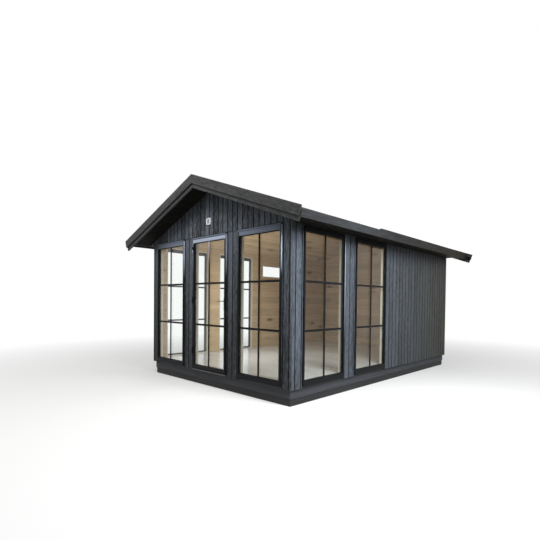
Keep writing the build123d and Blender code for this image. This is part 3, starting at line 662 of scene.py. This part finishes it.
class CABIN_OT_cladding(bpy.types.Operator):
    """Lay the grooved boards of the four walls and both gables"""

    bl_idname = "cabin.cladding"
    bl_label = "Cladding"

    def execute(self, context):
        own = settings().cladding
        profile = grooved_profile(own, HALF_WIDTH - CORE_X)
        self.lay_sides(profile)
        low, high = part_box("front_gable_cladding")
        self.lay_ends(profile, grooved_profile(own, high.y - low.y))
        return {"FINISHED"}

    def lay_sides(self, profile):
        """Boards of the long walls, with their windows left out."""
        # Painted shade in the shallow grooves, and painted light that turns the side boards warmer and darker
        # towards the back
        stain = charcoal_stain(
            "charcoal_stain_sides", 0.13, 1.0, 1.0, tone=0.05, hollow_colour=(0.018, 0.021, 0.025),
            aged=((0.66, 0.58, 0.40), -0.2, 2.4))
        units = [(*span, 0.0, UNIT_TOP) for span in SIDE_SPANS]
        anchor = (SIDE_SPANS[0][1] + SIDE_SPANS[1][0]) / 2
        high_window = (*HIGH_SPAN, *HIGH_HEIGHT)
        for name, seed, facing, holes in (
            ("right_cladding", 12, FACING_RIGHT, units),
            ("left_cladding", 10, FACING_LEFT, units + [high_window]),
        ):
            stack = BoardStack(seed)
            stack.lay(
                profile, facing[1] * CORE_X, facing, (-CORE_Y, CORE_Y), CLADDING_BOTTOM, CLADDING_TOP,
                anchor, holes, CHAMFER)
            stack.finish(name + "_boards", stain, "stained_cladding", name)

    def lay_ends(self, profile, gable_profile):
        """Boards of the front and back walls and their gables, which reach up to the soffits."""
        # Near-black painted shade in the grooves of the front and back walls and the front gable
        groove = {"hollow_colour": (0.003, 0.0032, 0.0035)}
        # Painted light: the front and back walls lighter at their heads than at their feet
        stain = charcoal_stain("charcoal_stain", 0.08, 1.0, 1.0, tone=0.07, lift=0.065, **groove)
        # The gable boards are a lighter copy of the stain, as painted light; their painted height light runs
        # the other way, a touch darker higher up
        gable_stain = charcoal_stain("charcoal_stain_gable", 0.08, 0.9, 1.5, tone=0.09, lift=-0.01, **groove)
        front_at, back_at = (-Y * CORE_Y, FACING_FRONT), (Y * CORE_Y, (X, Y, UP))
        piers, gable, back = BoardStack(21), BoardStack(31), BoardStack(41)
        for span in pier_spans(HALF_WIDTH):
            piers.lay(profile, *front_at, span, CLADDING_BOTTOM, GABLE_BOARDS_BOTTOM, chamfer=CHAMFER)

        def slope_top(u):
            """Height at which the boards meet the soffit."""
            return SOFFIT_APEX - SLOPE * abs(u)

        for span, gable_bottom, back_bottom in (
            ((-VERGE_END, -HALF_WIDTH), CLADDING_TOP, CLADDING_TOP),
            ((-HALF_WIDTH, HALF_WIDTH), GABLE_BOARDS_BOTTOM, CLADDING_BOTTOM),
            ((HALF_WIDTH, VERGE_END), CLADDING_TOP, CLADDING_TOP),
        ):
            gable.lay(gable_profile, *front_at, span, gable_bottom, slope_top, chamfer=CHAMFER)
            back.lay(profile, *back_at, span, back_bottom, slope_top, chamfer=CHAMFER)
        for stack, made, paint, name in (
            (piers, "front_cladding_boards", stain, "front_cladding"),
            (gable, "front_gable_boards", gable_stain, "front_gable_cladding"),
            (back, "back_cladding_boards", stain, "back_cladding"),
        ):
            stack.finish(made, paint, "stained_cladding", name)


def frame_paint(name, *fades):
    """Satin anthracite paint of frames and bars, with painted sheen and painted highlight where fades are
    given.
    """
    paint = settings().glazing.paint
    return coated(name, paint, shade(paint, 1.6), 0.4, grain=0.0002, gloss=0.08, fades=fades)


def lay_bars(stack, at, pane, setback, upright=1.0):
    """Bars and beads before a tall pane, given by its span; upright sets hollow on the upright bars, where 0
    lets the painted sheen onto them.
    """
    own = settings().glazing
    origin, axes = at
    for turned, span, along, count, hollow, step in (
        (axes, pane, PANE_HEIGHT, own.columns, upright, 0.0),
        (axes[::-1], PANE_HEIGHT, pane, own.rows, 1.0, 0.0004),
    ):
        through = (-setback, own.bar_thickness - setback - step)
        for number in range(1, count):
            reach = about(span[0] + (span[1] - span[0]) * number / count, own.bar_width)
            stack.plank(origin, turned, reach, through, along, chamfer=0.001, hollow=lambda u, v: hollow)
    lay_beads(stack, at, pane, PANE_HEIGHT, setback)


def lay_beads(stack, at, pane, height, setback):
    """Rounded bead round a pane, right before its glass."""
    origin, axes = at
    bead = settings().glazing.bead
    steps = 4
    angles = [math.pi / 2 * step / steps for step in range(steps + 1)]
    section = [(0.0, 0.0), *((round(math.cos(angle), 2), round(math.sin(angle), 2)) for angle in angles)]
    for turned, reach, span in ((axes, pane, height), (axes[::-1], height, pane)):
        for edge, turn in ((reach[0], 1), (reach[1], -1)):
            placed = [(edge + turn * (u * bead), v * bead - setback, 1.0) for u, v in section]
            stack.board(placed, origin, turned, *span, chamfer=0.0)


def pine_boards():
    """Pale pine with knots, one material for all boards of the room."""
    own = settings().room
    # Painted shade in the V joints between the boards
    return bpy.data.materials.get("pine") or wood(
        "pine", shade(own.pine, 0.66), own.pine, 0.125, knots=(0.17, 0.065, 0.025),
        hollow_colour=shade(own.pine, 0.25), tone=0.15, bump=0.0004, rough=(0.4, 0.6), streak=(1.1, 34, 34))


class CABIN_OT_frames(bpy.types.Operator):
    """Build the frames of the windows, and the bars and beads before all panes"""

    bl_idname = "cabin.frames"
    bl_label = "Frames and bars"

    def execute(self, context):
        own = settings().glazing
        # Painted sheen and painted highlight, standing in for the sky's reflection: on the front frames
        # towards their heads, on the stiles' sides that face X, on the right windows' far stile, on the
        # door's upright bars and on the door leaf's top rail
        bright_sheen = own.door_sheen
        paint = frame_paint("anthracite_paint")
        side_paint = frame_paint("side_paint_with_painted_highlight", (bright_sheen, X, (0.8, 1.6)))
        front_paint = frame_paint(
            "anthracite_with_painted_sheen", (own.facing_tint, -Y, (1.6, 2.35)), (shade(bright_sheen, 1.45), X, (1.7, 2.05)))
        bar_paint = frame_paint("bar_paint_with_painted_sheen", (bright_sheen, -Y, (1.9, 2.2)))
        leaf_paint = frame_paint("leaf_paint_with_painted_sheen", (bright_sheen, -Y, (PANE_TOP - 0.01, PANE_TOP + 0.01)))

        sides = (own.stile, own.stile, PANE_BOTTOM - SILL_TOP, UNIT_TOP - PANE_TOP)
        # Widths over which each unit's left and right stile carry the painted highlight; head 0 lets the
        # painted sheen onto the top rail
        both, far, neither = (own.stile, own.stile), (0.0, own.stile), (0.0, 0.0)
        for seed, name, at, spans, finish, edges, head in (
            (50, "front_window_frames", FRONT_UNITS, FRONT_SPANS, front_paint, (both, both), 0.0),
            (51, "right_window_frames", RIGHT_UNITS, SIDE_SPANS, side_paint, (far, neither), 1.0),
            (52, "left_window_frames", LEFT_UNITS, SIDE_SPANS, paint, (neither, neither), 1.0),
        ):
            stack = BoardStack(seed)
            for span, lit in zip(spans, edges):
                stack.surround(*at, span, UNIT_HEIGHT, sides, (-UNIT_DEPTH, 0.0), edges=lit, head=head)
                lay_bars(stack, at, within(span, own.stile), GLASS_SETBACK)
            stack.finish(name + "_bars", finish, "frame_paint", name)

        stack = BoardStack(60)
        lay_bars(stack, FRONT_UNITS, DOOR_PANE_SPAN, DOOR_GLASS_SETBACK, 0.0)
        stack.finish("door_bars", bar_paint, "frame_paint", body="door")
        # The door's frame and leaf carry the painted sheen too, the leaf only above its pane
        dress(front_paint, "door_frame", bevel=0.0015)
        dress(leaf_paint, "door_leaf", bevel=0.0015)
        self.build_high_frame(own.high_rail, paint)
        return {"FINISHED"}

    def build_high_frame(self, rail, paint):
        """The high window's frame, painted outside and bare pine inside."""
        split = -GLASS_SETBACK - GLASS_THICKNESS / 2
        outer, inner = BoardStack(65), BoardStack(66)
        for stack, depth in ((outer, (split, 0.0)), (inner, (-UNIT_DEPTH, split))):
            stack.surround(*LEFT_UNITS, HIGH_SPAN, HIGH_HEIGHT, (rail,) * 4, depth)
        lay_beads(outer, LEFT_UNITS, within(HIGH_SPAN, rail), within(HIGH_HEIGHT, rail), GLASS_SETBACK)
        outer.finish("high_frame_outside", paint, "frame_paint", "high_window_frame")
        inner.finish("high_frame_inside", pine_boards(), "inner_pine")


class CABIN_OT_panes(bpy.types.Operator):
    """Build the double panes, each of two sheets with a spacer between them"""

    bl_idname = "cabin.panes"
    bl_label = "Panes"

    def execute(self, context):
        own = settings().glazing
        glass = clear_glass()
        spacer = coated("spacer", (0.10, 0.10, 0.105), (0.16, 0.16, 0.165), 0.4, 1.0)
        chamfer = 0.0004

        def double_pane(sheets, edges, at, pane, height, setback):
            """Two sheets of glass and the spacer round their edge."""
            outer = (-setback - own.sheet, -setback)
            inner = (-setback - GLASS_THICKNESS, -setback - GLASS_THICKNESS + own.sheet)
            for through in (outer, inner):
                sheets.plank(*at, pane, through, height, chamfer)
            edges.surround(*at, pane, height, (own.spacer,) * 4, (inner[1], outer[0]), chamfer)

        sheets, edges = BoardStack(61), BoardStack(62)
        for at, spans in ((FRONT_UNITS, FRONT_SPANS), (RIGHT_UNITS, SIDE_SPANS), (LEFT_UNITS, SIDE_SPANS)):
            for span in spans:
                double_pane(sheets, edges, at, within(span, own.stile), PANE_HEIGHT, GLASS_SETBACK)
        high_pane = within(HIGH_SPAN, own.high_rail), within(HIGH_HEIGHT, own.high_rail)
        double_pane(sheets, edges, LEFT_UNITS, *high_pane, GLASS_SETBACK)
        sheets.finish("window_glass", glass, "pane_glass", "window_panes")
        edges.finish("window_spacers", spacer, "satin_metal")

        sheets, edges = BoardStack(63), BoardStack(64)
        double_pane(sheets, edges, FRONT_UNITS, DOOR_PANE_SPAN, PANE_HEIGHT, DOOR_GLASS_SETBACK)
        sheets.finish("door_glass", glass, "pane_glass", "door_pane", body="door")
        edges.finish("door_spacers", spacer, "satin_metal", body="door")
        return {"FINISHED"}


class CABIN_OT_room(bpy.types.Operator):
    """Build the walls and the ceiling of the room from pine boards"""

    bl_idname = "cabin.room"
    bl_label = "Room"

    def execute(self, context):
        own = settings().room
        pine, notch = pine_boards(), 0.003
        profile = notched_profile(own.wall_cover, CORE_X - INNER_X, notch)

        def wall(name, seed, origin, axes, areas, holes=()):
            """Lays boards over a wall's areas of (reach, low, high)."""
            stack = BoardStack(seed)
            for area in areas:
                stack.lay(profile, origin, axes, *area, FLOOR_TOP, holes)
            stack.finish(name + "_boards", pine, "inner_pine", name)

        def right_end(z):
            """Where a board ends at the right, under the roof's slope or at the wall."""
            return min(CORE_X, (CEILING_APEX - z) / SLOPE)

        def left_end(z):
            """Where it ends at the left."""
            return -right_end(z)

        front_at = (-Y * CORE_Y, (UP, Y, X))
        wall("back_wall", 71, Y * CORE_Y, (UP, -Y, X), [((SILL_TOP, CEILING_APEX), left_end, right_end)])
        wall("front_gable", 72, *front_at, [((UNIT_TOP, CEILING_APEX), left_end, right_end)])
        wall("front_piers", 73, *front_at, [(UNIT_HEIGHT, *span) for span in pier_spans(CORE_X)])
        units = [(*UNIT_HEIGHT, *span) for span in SIDE_SPANS]
        high_window = (*HIGH_HEIGHT, *HIGH_SPAN)
        for name, side, holes in (("right_wall", 1, units), ("left_wall", -1, units + [high_window])):
            area = (UNIT_HEIGHT, -INNER_Y, INNER_Y)
            wall(name, 75 + side, X * side * CORE_X, (UP, -X * side, Y), [area], holes)
        dress(wood("pine_headers", shade(own.pine, 0.72), own.pine, 0.2, "Y", bump=0.0004), "side_headers")

        ceiling = BoardStack(81)
        profile = notched_profile(own.ceiling_cover, settings().roof.ceiling * RAKE, notch)
        for down, outward in (RIGHT_SLOPE, LEFT_SLOPE):
            ceiling.lay(
                profile, UP * CEILING_APEX, (down, -outward, Y), (0.0, INNER_X / RAKE), -INNER_Y, INNER_Y)
        ceiling.finish("ceiling_boards", pine, "inner_pine", "ceiling")
        return {"FINISHED"}


class CABIN_OT_floor(bpy.types.Operator):
    """Lay the floor boards"""

    bl_idname = "cabin.floor"
    bl_label = "Floor"

    def execute(self, context):
        # Painted shade in the V joints between the floor boards
        washed = wood(
            "washed_boards", (0.50, 0.49, 0.475), (0.69, 0.685, 0.675), 0.22, tone=0.25, bump=0.0003,
            rough=(0.14, 0.24), hollow_colour=(0.20, 0.17, 0.13), gloss=0.6)
        low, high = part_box("floor")
        profile = notched_profile(settings().room.floor_cover, high.z - low.z, 0.002)
        stack = BoardStack(91)
        stack.lay(profile, UP * low.z, (Y, UP, X), (low.y, high.y), low.x, high.x, low.y)
        stack.finish("floor_planks", washed, "floor_boards", "floor")
        return {"FINISHED"}


class CABIN_OT_linings(bpy.types.Operator):
    """Build the linings of the walls' openings"""

    bl_idname = "cabin.linings"
    bl_label = "Linings"

    def execute(self, context):
        own = settings().room
        paint = coated("lining_paint", own.lining, shade(own.lining, 0.93), 0.4)
        stack = BoardStack(95)
        lining = own.lining_thickness
        sides = (lining, lining, FLOOR_TOP - SILL_TOP + own.lining_rise, lining)
        unit_back = UNIT_FACE_Y - UNIT_DEPTH - INNER_Y
        door_back = -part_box("door_frame")[1].y - INNER_Y
        for span, depth in zip((*FRONT_SPANS, DOOR_SPAN), (unit_back, unit_back, door_back)):
            stack.surround(-Y * INNER_Y, FACING_FRONT, span, UNIT_HEIGHT, sides, (0.0, depth))
        right, left = (X * INNER_X, FACING_RIGHT), (-X * INNER_X, FACING_LEFT)
        for at in (right, left):
            for span in SIDE_SPANS:
                stack.surround(*at, span, UNIT_HEIGHT, sides, (0.0, unit_back))
        strip_width, strip_depth = 0.024, 0.003
        near = HIGH_SPAN[0] + settings().glazing.high_rail
        stack.plank(
            -X * (UNIT_FACE_X - UNIT_DEPTH), FACING_RIGHT, (near - strip_width, near), (0.0, strip_depth),
            within(HIGH_HEIGHT, lining))
        stack.finish("lining_boards", paint, "lining_paint", "window_linings")

        stack = BoardStack(96)
        stack.surround(*left, HIGH_SPAN, HIGH_HEIGHT, (lining,) * 4, (0.0, unit_back))
        stack.finish("high_lining_boards", pine_boards(), "inner_pine")
        return {"FINISHED"}


class CABIN_OT_roof(bpy.types.Operator):
    """Build the felt strips and the ridge cap"""

    bl_idname = "cabin.roof"
    bl_label = "Felt"

    def execute(self, context):
        own = settings().roof
        felt = mineral_felt()
        deck = own.deck * RAKE
        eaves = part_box("roof_right")[1].x / RAKE
        strips = max(1, round(eaves / own.strip))
        along = (-ROOF_HALF_LENGTH, ROOF_HALF_LENGTH)
        for name, seed, (down, outward) in (("roof_right", 102, RIGHT_SLOPE), ("roof_left", 103, LEFT_SLOPE)):
            underside = UP * ROOF_APEX - outward * deck
            stack = BoardStack(seed)
            for number in range(strips):
                u0, u1 = number * eaves / strips, (number + 1) * eaves / strips
                profile = [(u0, 0.0, 0.0), (u1, 0.0, 0.0), (u1, deck + own.lap, 0.0), (u0, deck, 0.0)]
                stack.board(profile, underside, (down, outward, Y), *along, chamfer=0.0)
            stack.finish(name + "_felt", felt, "roofing_felt", name)

        cap = BoardStack(120)
        low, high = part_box("ridge_cap")
        reach, fall = high.x, -SLOPE * high.x
        pieces = max(1, round((high.y - low.y) / own.cap_length))
        length = (high.y - low.y) / pieces
        for number in range(pieces):
            top = high.z - ROOF_APEX + 0.5 * own.lap * (number % 2)
            profile = [
                (-reach, fall, 0.0), (0.0, 0.0, 0.0), (reach, fall, 0.0),
                (reach, top + fall, 0.0), (0.0, top, 0.0), (-reach, top + fall, 0.0),
            ]
            start = low.y + number * length
            cap.board(profile, UP * ROOF_APEX, (X, UP, Y), start, start + length, chamfer=0.0)
        cap.finish("ridge_cap_felt", felt, "roofing_felt", "ridge_cap")
        return {"FINISHED"}


class CABIN_OT_trim(bpy.types.Operator):
    """Build the soffits and the boards along the roof's edges"""

    bl_idname = "cabin.trim"
    bl_label = "Roof trim"

    def execute(self, context):
        own = settings().roof
        self.lay_soffits(own)
        self.lay_barges(own)
        # Warmer and darker towards the back along Y
        fascia = wood(
            "weathered_stain_y", (0.010, 0.0104, 0.011), (0.039, 0.041, 0.0435), 0.16, "Y", bump=0.0014,
            streak=(4, 45, 45), gloss=0.1, aged=((1.05, 0.84, 0.50), -0.5, 2.7))
        dress(fascia, "eave_fascias", "edge_battens", bevel=0.002)
        return {"FINISHED"}

    def lay_soffits(self, own):
        """Boards under the roof's edges, sloping along the verges and level along the eaves."""
        # Stain made near black as painted shade under the roof's edges, with painted shade in the joints as
        # well
        shaded = wood(
            "shaded_stain", (0.006, 0.006, 0.005), (0.020, 0.019, 0.016), 0.2, tone=0.1, bump=0.001,
            hollow_colour=(0.002, 0.002, 0.002), gloss=0.05)
        stack = BoardStack(101)
        profile = notched_profile(own.soffit_cover, own.ceiling * RAKE, 0.003)
        for down, outward in (RIGHT_SLOPE, LEFT_SLOPE):
            for start, end in ((-ROOF_HALF_LENGTH, -HALF_DEPTH), (HALF_DEPTH, ROOF_HALF_LENGTH)):
                stack.lay(
                    profile, UP * CEILING_APEX, (down, -outward, Y), (0.0, VERGE_END / RAKE), start, end)
        stack.finish("verge_boards", shaded, "stained_trim", "verge_soffits")

        stack = BoardStack(110)
        low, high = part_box("eave_soffits")
        profile = notched_profile(own.soffit_cover, high.z - low.z, 0.002)
        for side in (1, -1):
            for reach, half in (((HALF_WIDTH, VERGE_END), CORE_Y), ((VERGE_END, high.x), ROOF_HALF_LENGTH)):
                stack.lay(profile, UP * high.z, (X * side, -UP, Y), reach, -half, half, high.x)
        stack.finish("eave_boards", shaded, "stained_trim", "eave_soffits")

    def lay_barges(self, own):
        """Upper and lower boards along both verges, each layer by depths and the values of hollow there."""
        end_grain = (0.020, 0.021, 0.021)
        trim = wood(
            "weathered_stain", (0.013, 0.0135, 0.0135), (0.072, 0.075, 0.076), 0.10, tone=0.1, bump=0.0014,
            hollow_colour=(0.003, 0.003, 0.003), streak=(9, 60, 60),
            fades=[(end_grain, X, (0.0, 0.1)), (end_grain, -X, (0.0, 0.1))])
        # The lower boards' band just under the upper boards is painted shadow of the upper boards, made near
        # black through hollow
        rim, shadow, chamfer = 0.003, 0.008, 0.002
        seam, foot = own.upper_barge, own.lower_barge
        layers = {
            "upper": [(0.0, 0.0), (rim, 0.0), (seam - rim, 0.0), (seam, 0.0)],
            "lower": [
                (own.lower_start, 1.0), (seam, 1.0), (seam + shadow, 0.9), (seam + 2 * shadow, 0.0),
                (foot - rim, 0.0), (foot, 0.0),
            ],
        }
        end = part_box("barge_front_upper")[1].x / RAKE
        for gable, seed in (("front", 135), ("back", 137)):
            for layer, marks in layers.items():
                name = f"barge_{gable}_{layer}"
                low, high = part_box(name)
                origin = Vector((0, low.y, RIDGE_TOP))
                profile = [(u, 0.0, hollow) for u, hollow in marks]
                profile += [(u, high.y - low.y, hollow) for u, hollow in reversed(marks)]
                stack = BoardStack(seed)
                for down, outward in (RIGHT_SLOPE, LEFT_SLOPE):
                    stack.board(profile, origin, (-outward, Y, down), lambda u: u * SLOPE, end, chamfer)
                stack.finish(name + "_boards", trim, "stained_trim", name)


class CABIN_OT_base(bpy.types.Operator):
    """Finish the base, the skirt and the hidden timber"""

    bl_idname = "cabin.base"
    bl_label = "Base and timber"

    def execute(self, context):
        beams = ((0.010, 0.010, 0.011), (0.045, 0.045, 0.047), 0.2)
        skirt = ((0.022, 0.024, 0.028), (0.075, 0.080, 0.092), 0.2)
        sawn = ((0.42, 0.29, 0.17), (0.66, 0.50, 0.32), 0.22)
        for name, tones, bump, bevel, along_x, along_y in (
            ("base_timber", beams, 0.0015, 0.004, ["base_beams_cross"], ["base_beams_long"]),
            ("skirt", skirt, 0.0012, 0.002, ["skirt_ends"], ["skirt_sides"]),
            ("sawn", sawn, 0.001, 0.0, ["sills_ends", "floor_joists", "rafters"],
             ["sills_sides", "ridge_beam"]),
        ):
            for axis, nodes in (("X", along_x), ("Y", along_y)):
                dress(wood(f"{name}_{axis}", *tones, axis, bump=bump), *nodes, bevel=bevel)
        return {"FINISHED"}


class CABIN_OT_fittings(bpy.types.Operator):
    """Finish the drips, the vent, the threshold and the handle"""

    bl_idname = "cabin.fittings"
    bl_label = "Fittings"

    def execute(self, context):
        # The head drips carry the front frames' painted sheen towards the top
        facing_tint = settings().glazing.facing_tint
        dress(frame_paint("drip_paint", (facing_tint, -Y, (1.6, 2.35))), "head_drips", bevel=0.001)
        dress(coated("white_plastic", (0.90, 0.93, 0.97), (0.84, 0.87, 0.91), 0.45), "gable_vent")
        low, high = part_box("gable_vent")
        width, height = 0.056, 0.064
        # The dark screen at the floor of the blind slots is an insect screen and painted shade in the slots
        screen = BoardStack(140)
        screen.plank(
            (low + high) / 2, FACING_FRONT, about(0, width), (0.0002, 0.0008), about(0, height), chamfer=0.0)
        mesh = coated("dark_mesh", (0.05, 0.05, 0.052), (0.08, 0.08, 0.08), 0.6, 1.0)
        screen.finish("vent_screen", mesh, "satin_metal")

        # The grey slats on the vent's face are a grey insert and painted shade of the slots, which darkens
        # the vent's middle
        slats = BoardStack(141)
        width, height, thickness, pitch = 0.054, 0.007, 0.0008, 0.014
        for steps in (-1.5, -0.5, 0.5, 1.5):
            place = Vector(((low.x + high.x) / 2, low.y, (low.z + high.z) / 2 + steps * pitch))
            slats.plank(
                place, FACING_FRONT, about(0, width), (0.0, thickness), about(0, height), chamfer=0.0002)
        plastic = coated("grey_plastic", (0.46, 0.47, 0.49), (0.52, 0.53, 0.55), 0.5)
        slats.finish("vent_slats", plastic, "white_vent")

        aluminium = coated("dark_aluminium", (0.10, 0.10, 0.105), (0.15, 0.15, 0.155), 0.4, 1.0)
        dress(aluminium, "door_threshold", bevel=0.0006)
        dress(coated("dark_metal", (0.05, 0.05, 0.052), (0.07, 0.07, 0.07), 0.35, 1.0), "door_handle")
        return {"FINISHED"}


# Place, angles in radians and shift of the camera, fitted to the corners of the panes
EYE_X, EYE_Y = 5.171, -5.861
LOOK_DOWN, ROLL, TURN = 0.0212, -0.0130, 0.7070
SHIFT_X, SHIFT_Y = -0.0900, 0.0750

# Size of the stage's floor, and how it turns to white with distance: from, to, first and last share
FLOOR_HALF_SIDE = 60.0
WHITE_RANGE = (3.0, 9.0, 0.3, 1.0)


def add_camera(own):
    """Camera that stands where the photograph's stood."""
    data = bpy.data.cameras.new("camera")
    data.lens = own.focal_length
    data.shift_x, data.shift_y = SHIFT_X, SHIFT_Y
    camera = add_object("camera", data)
    camera.location = (EYE_X, EYE_Y, own.eye_height)
    camera.rotation_euler = (math.pi / 2 - LOOK_DOWN, ROLL, TURN)
    return camera


def pale_floor(own):
    """Pale material that is white far away, and throws less light back than it shows."""
    material, tree, shader = new_material("pale_floor")
    shown = shown_ray(tree)
    colour = blend(tree, shown, own.bounce, own.floor)
    fill(tree, shader, {"Base Color": colour, "Roughness": 0.9, "Specular IOR Level": 0.1})
    position = node(tree, "NewGeometry").outputs["Position"]
    distance = node(tree, "VectorMath", {0: position}, operation="LENGTH").outputs["Value"]
    far = reckon(tree, "MULTIPLY", shown, spread(tree, distance, *WHITE_RANGE))
    mix_in(tree, shader, far, node(tree, "Emission", {"Color": (1, 1, 1, 1), "Strength": 1.0}))
    return material


def lay_floor_plane(material):
    """Wide level floor under the cabin."""
    corners = [(x * FLOOR_HALF_SIDE, y * FLOOR_HALF_SIDE, 0) for x, y in ((-1, -1), (1, -1), (1, 1), (-1, 1))]
    mesh = bpy.data.meshes.new("floor_plane")
    mesh.from_pydata(corners, [], [(0, 1, 2, 3)])
    mesh.materials.append(material)
    add_object("floor_plane", mesh)


def daylight(own):
    """White all round, which lights the cabin less strongly than it shows."""
    world = bpy.data.worlds.new("daylight")
    world.use_nodes = True
    tree = world.node_tree
    tree.nodes.clear()
    strength = spread(tree, shown_ray(tree), 0.0, 1.0, own.daylight, 1.0)
    sky = node(tree, "Background", {"Color": (1, 1, 1, 1), "Strength": strength})
    node(tree, "OutputWorld", {"Surface": sky.outputs[0]})
    return world


def add_lamp(name, kind, power, place):
    """Lamp that is seen neither by itself, nor mirrored, nor through glass."""
    lamp = add_object(name, bpy.data.lights.new(name, kind))
    lamp.data.energy = power
    lamp.location = place
    lamp.visible_camera = lamp.visible_glossy = lamp.visible_transmission = False
    return lamp


class CABIN_OT_stage(bpy.types.Operator):
    """Set up the floor, the light and the camera"""

    bl_idname = "cabin.stage"
    bl_label = "Stage"

    def execute(self, context):
        own = settings().stage
        scene = context.scene
        scene.view_settings.view_transform = "Standard"
        scene.camera = add_camera(own)
        scene.world = daylight(own)
        lay_floor_plane(pale_floor(own))
        for name, power, tint, size, place, target in (
            ("key_lamp", own.key_power, (0.96, 0.98, 1), (2, 2), (4.7, -2.4, 3.6), (1.8, -1.3, 1.1)),
            ("front_lamp", own.front_power, (1, 0.98, 0.94), (4, 1.2), (0.8, -4.7, 5), (0.3, -2.4, 1.8)),
        ):
            lamp = add_lamp(name, "AREA", power, place)
            lamp.data.shape = "RECTANGLE"
            lamp.data.size, lamp.data.size_y = size
            lamp.data.color = tint
            lamp.rotation_euler = (Vector(target) - lamp.location).to_track_quat("-Z", "Y").to_euler()
        add_lamp("room_lamp", "POINT", own.room_power, (-0.5, -1.0, 1.3)).data.shadow_soft_size = 0.5
        return {"FINISHED"}


class CABIN_PT_panel(bpy.types.Panel):
    """Lists the cabin's operators"""

    bl_idname = "CABIN_PT_panel"
    bl_label = "Garden cabin"
    bl_space_type = "VIEW_3D"
    bl_region_type = "UI"
    bl_category = "Cabin"

    def draw(self, context):
        for operator in OPERATORS:
            self.layout.operator(operator.bl_idname)


OPERATORS = (
    CABIN_OT_stage, CABIN_OT_base, CABIN_OT_cladding, CABIN_OT_frames, CABIN_OT_panes, CABIN_OT_room,
    CABIN_OT_floor, CABIN_OT_linings, CABIN_OT_roof, CABIN_OT_trim, CABIN_OT_fittings,
)
GROUPS = (CladdingSettings, GlazingSettings, RoomSettings, RoofSettings, StageSettings, CabinSettings)
CLASSES = (*GROUPS, *OPERATORS, CABIN_PT_panel)


def register():
    """Registers the classes and the scene's settings."""
    for item in CLASSES:
        bpy.utils.register_class(item)
    bpy.types.Scene.cabin = PointerProperty(type=CabinSettings)


def unregister():
    """Removes what register added."""
    del bpy.types.Scene.cabin
    for item in reversed(CLASSES):
        bpy.utils.unregister_class(item)


def main():
    """Makes every piece and the stage."""
    register()
    bpy.ops.cabin.stage()
    bpy.ops.cabin.base()
    bpy.ops.cabin.cladding()
    bpy.ops.cabin.frames()
    bpy.ops.cabin.panes()
    bpy.ops.cabin.room()
    bpy.ops.cabin.floor()
    bpy.ops.cabin.linings()
    bpy.ops.cabin.roof()
    bpy.ops.cabin.trim()
    bpy.ops.cabin.fittings()


if __name__ == "__main__":
    main()
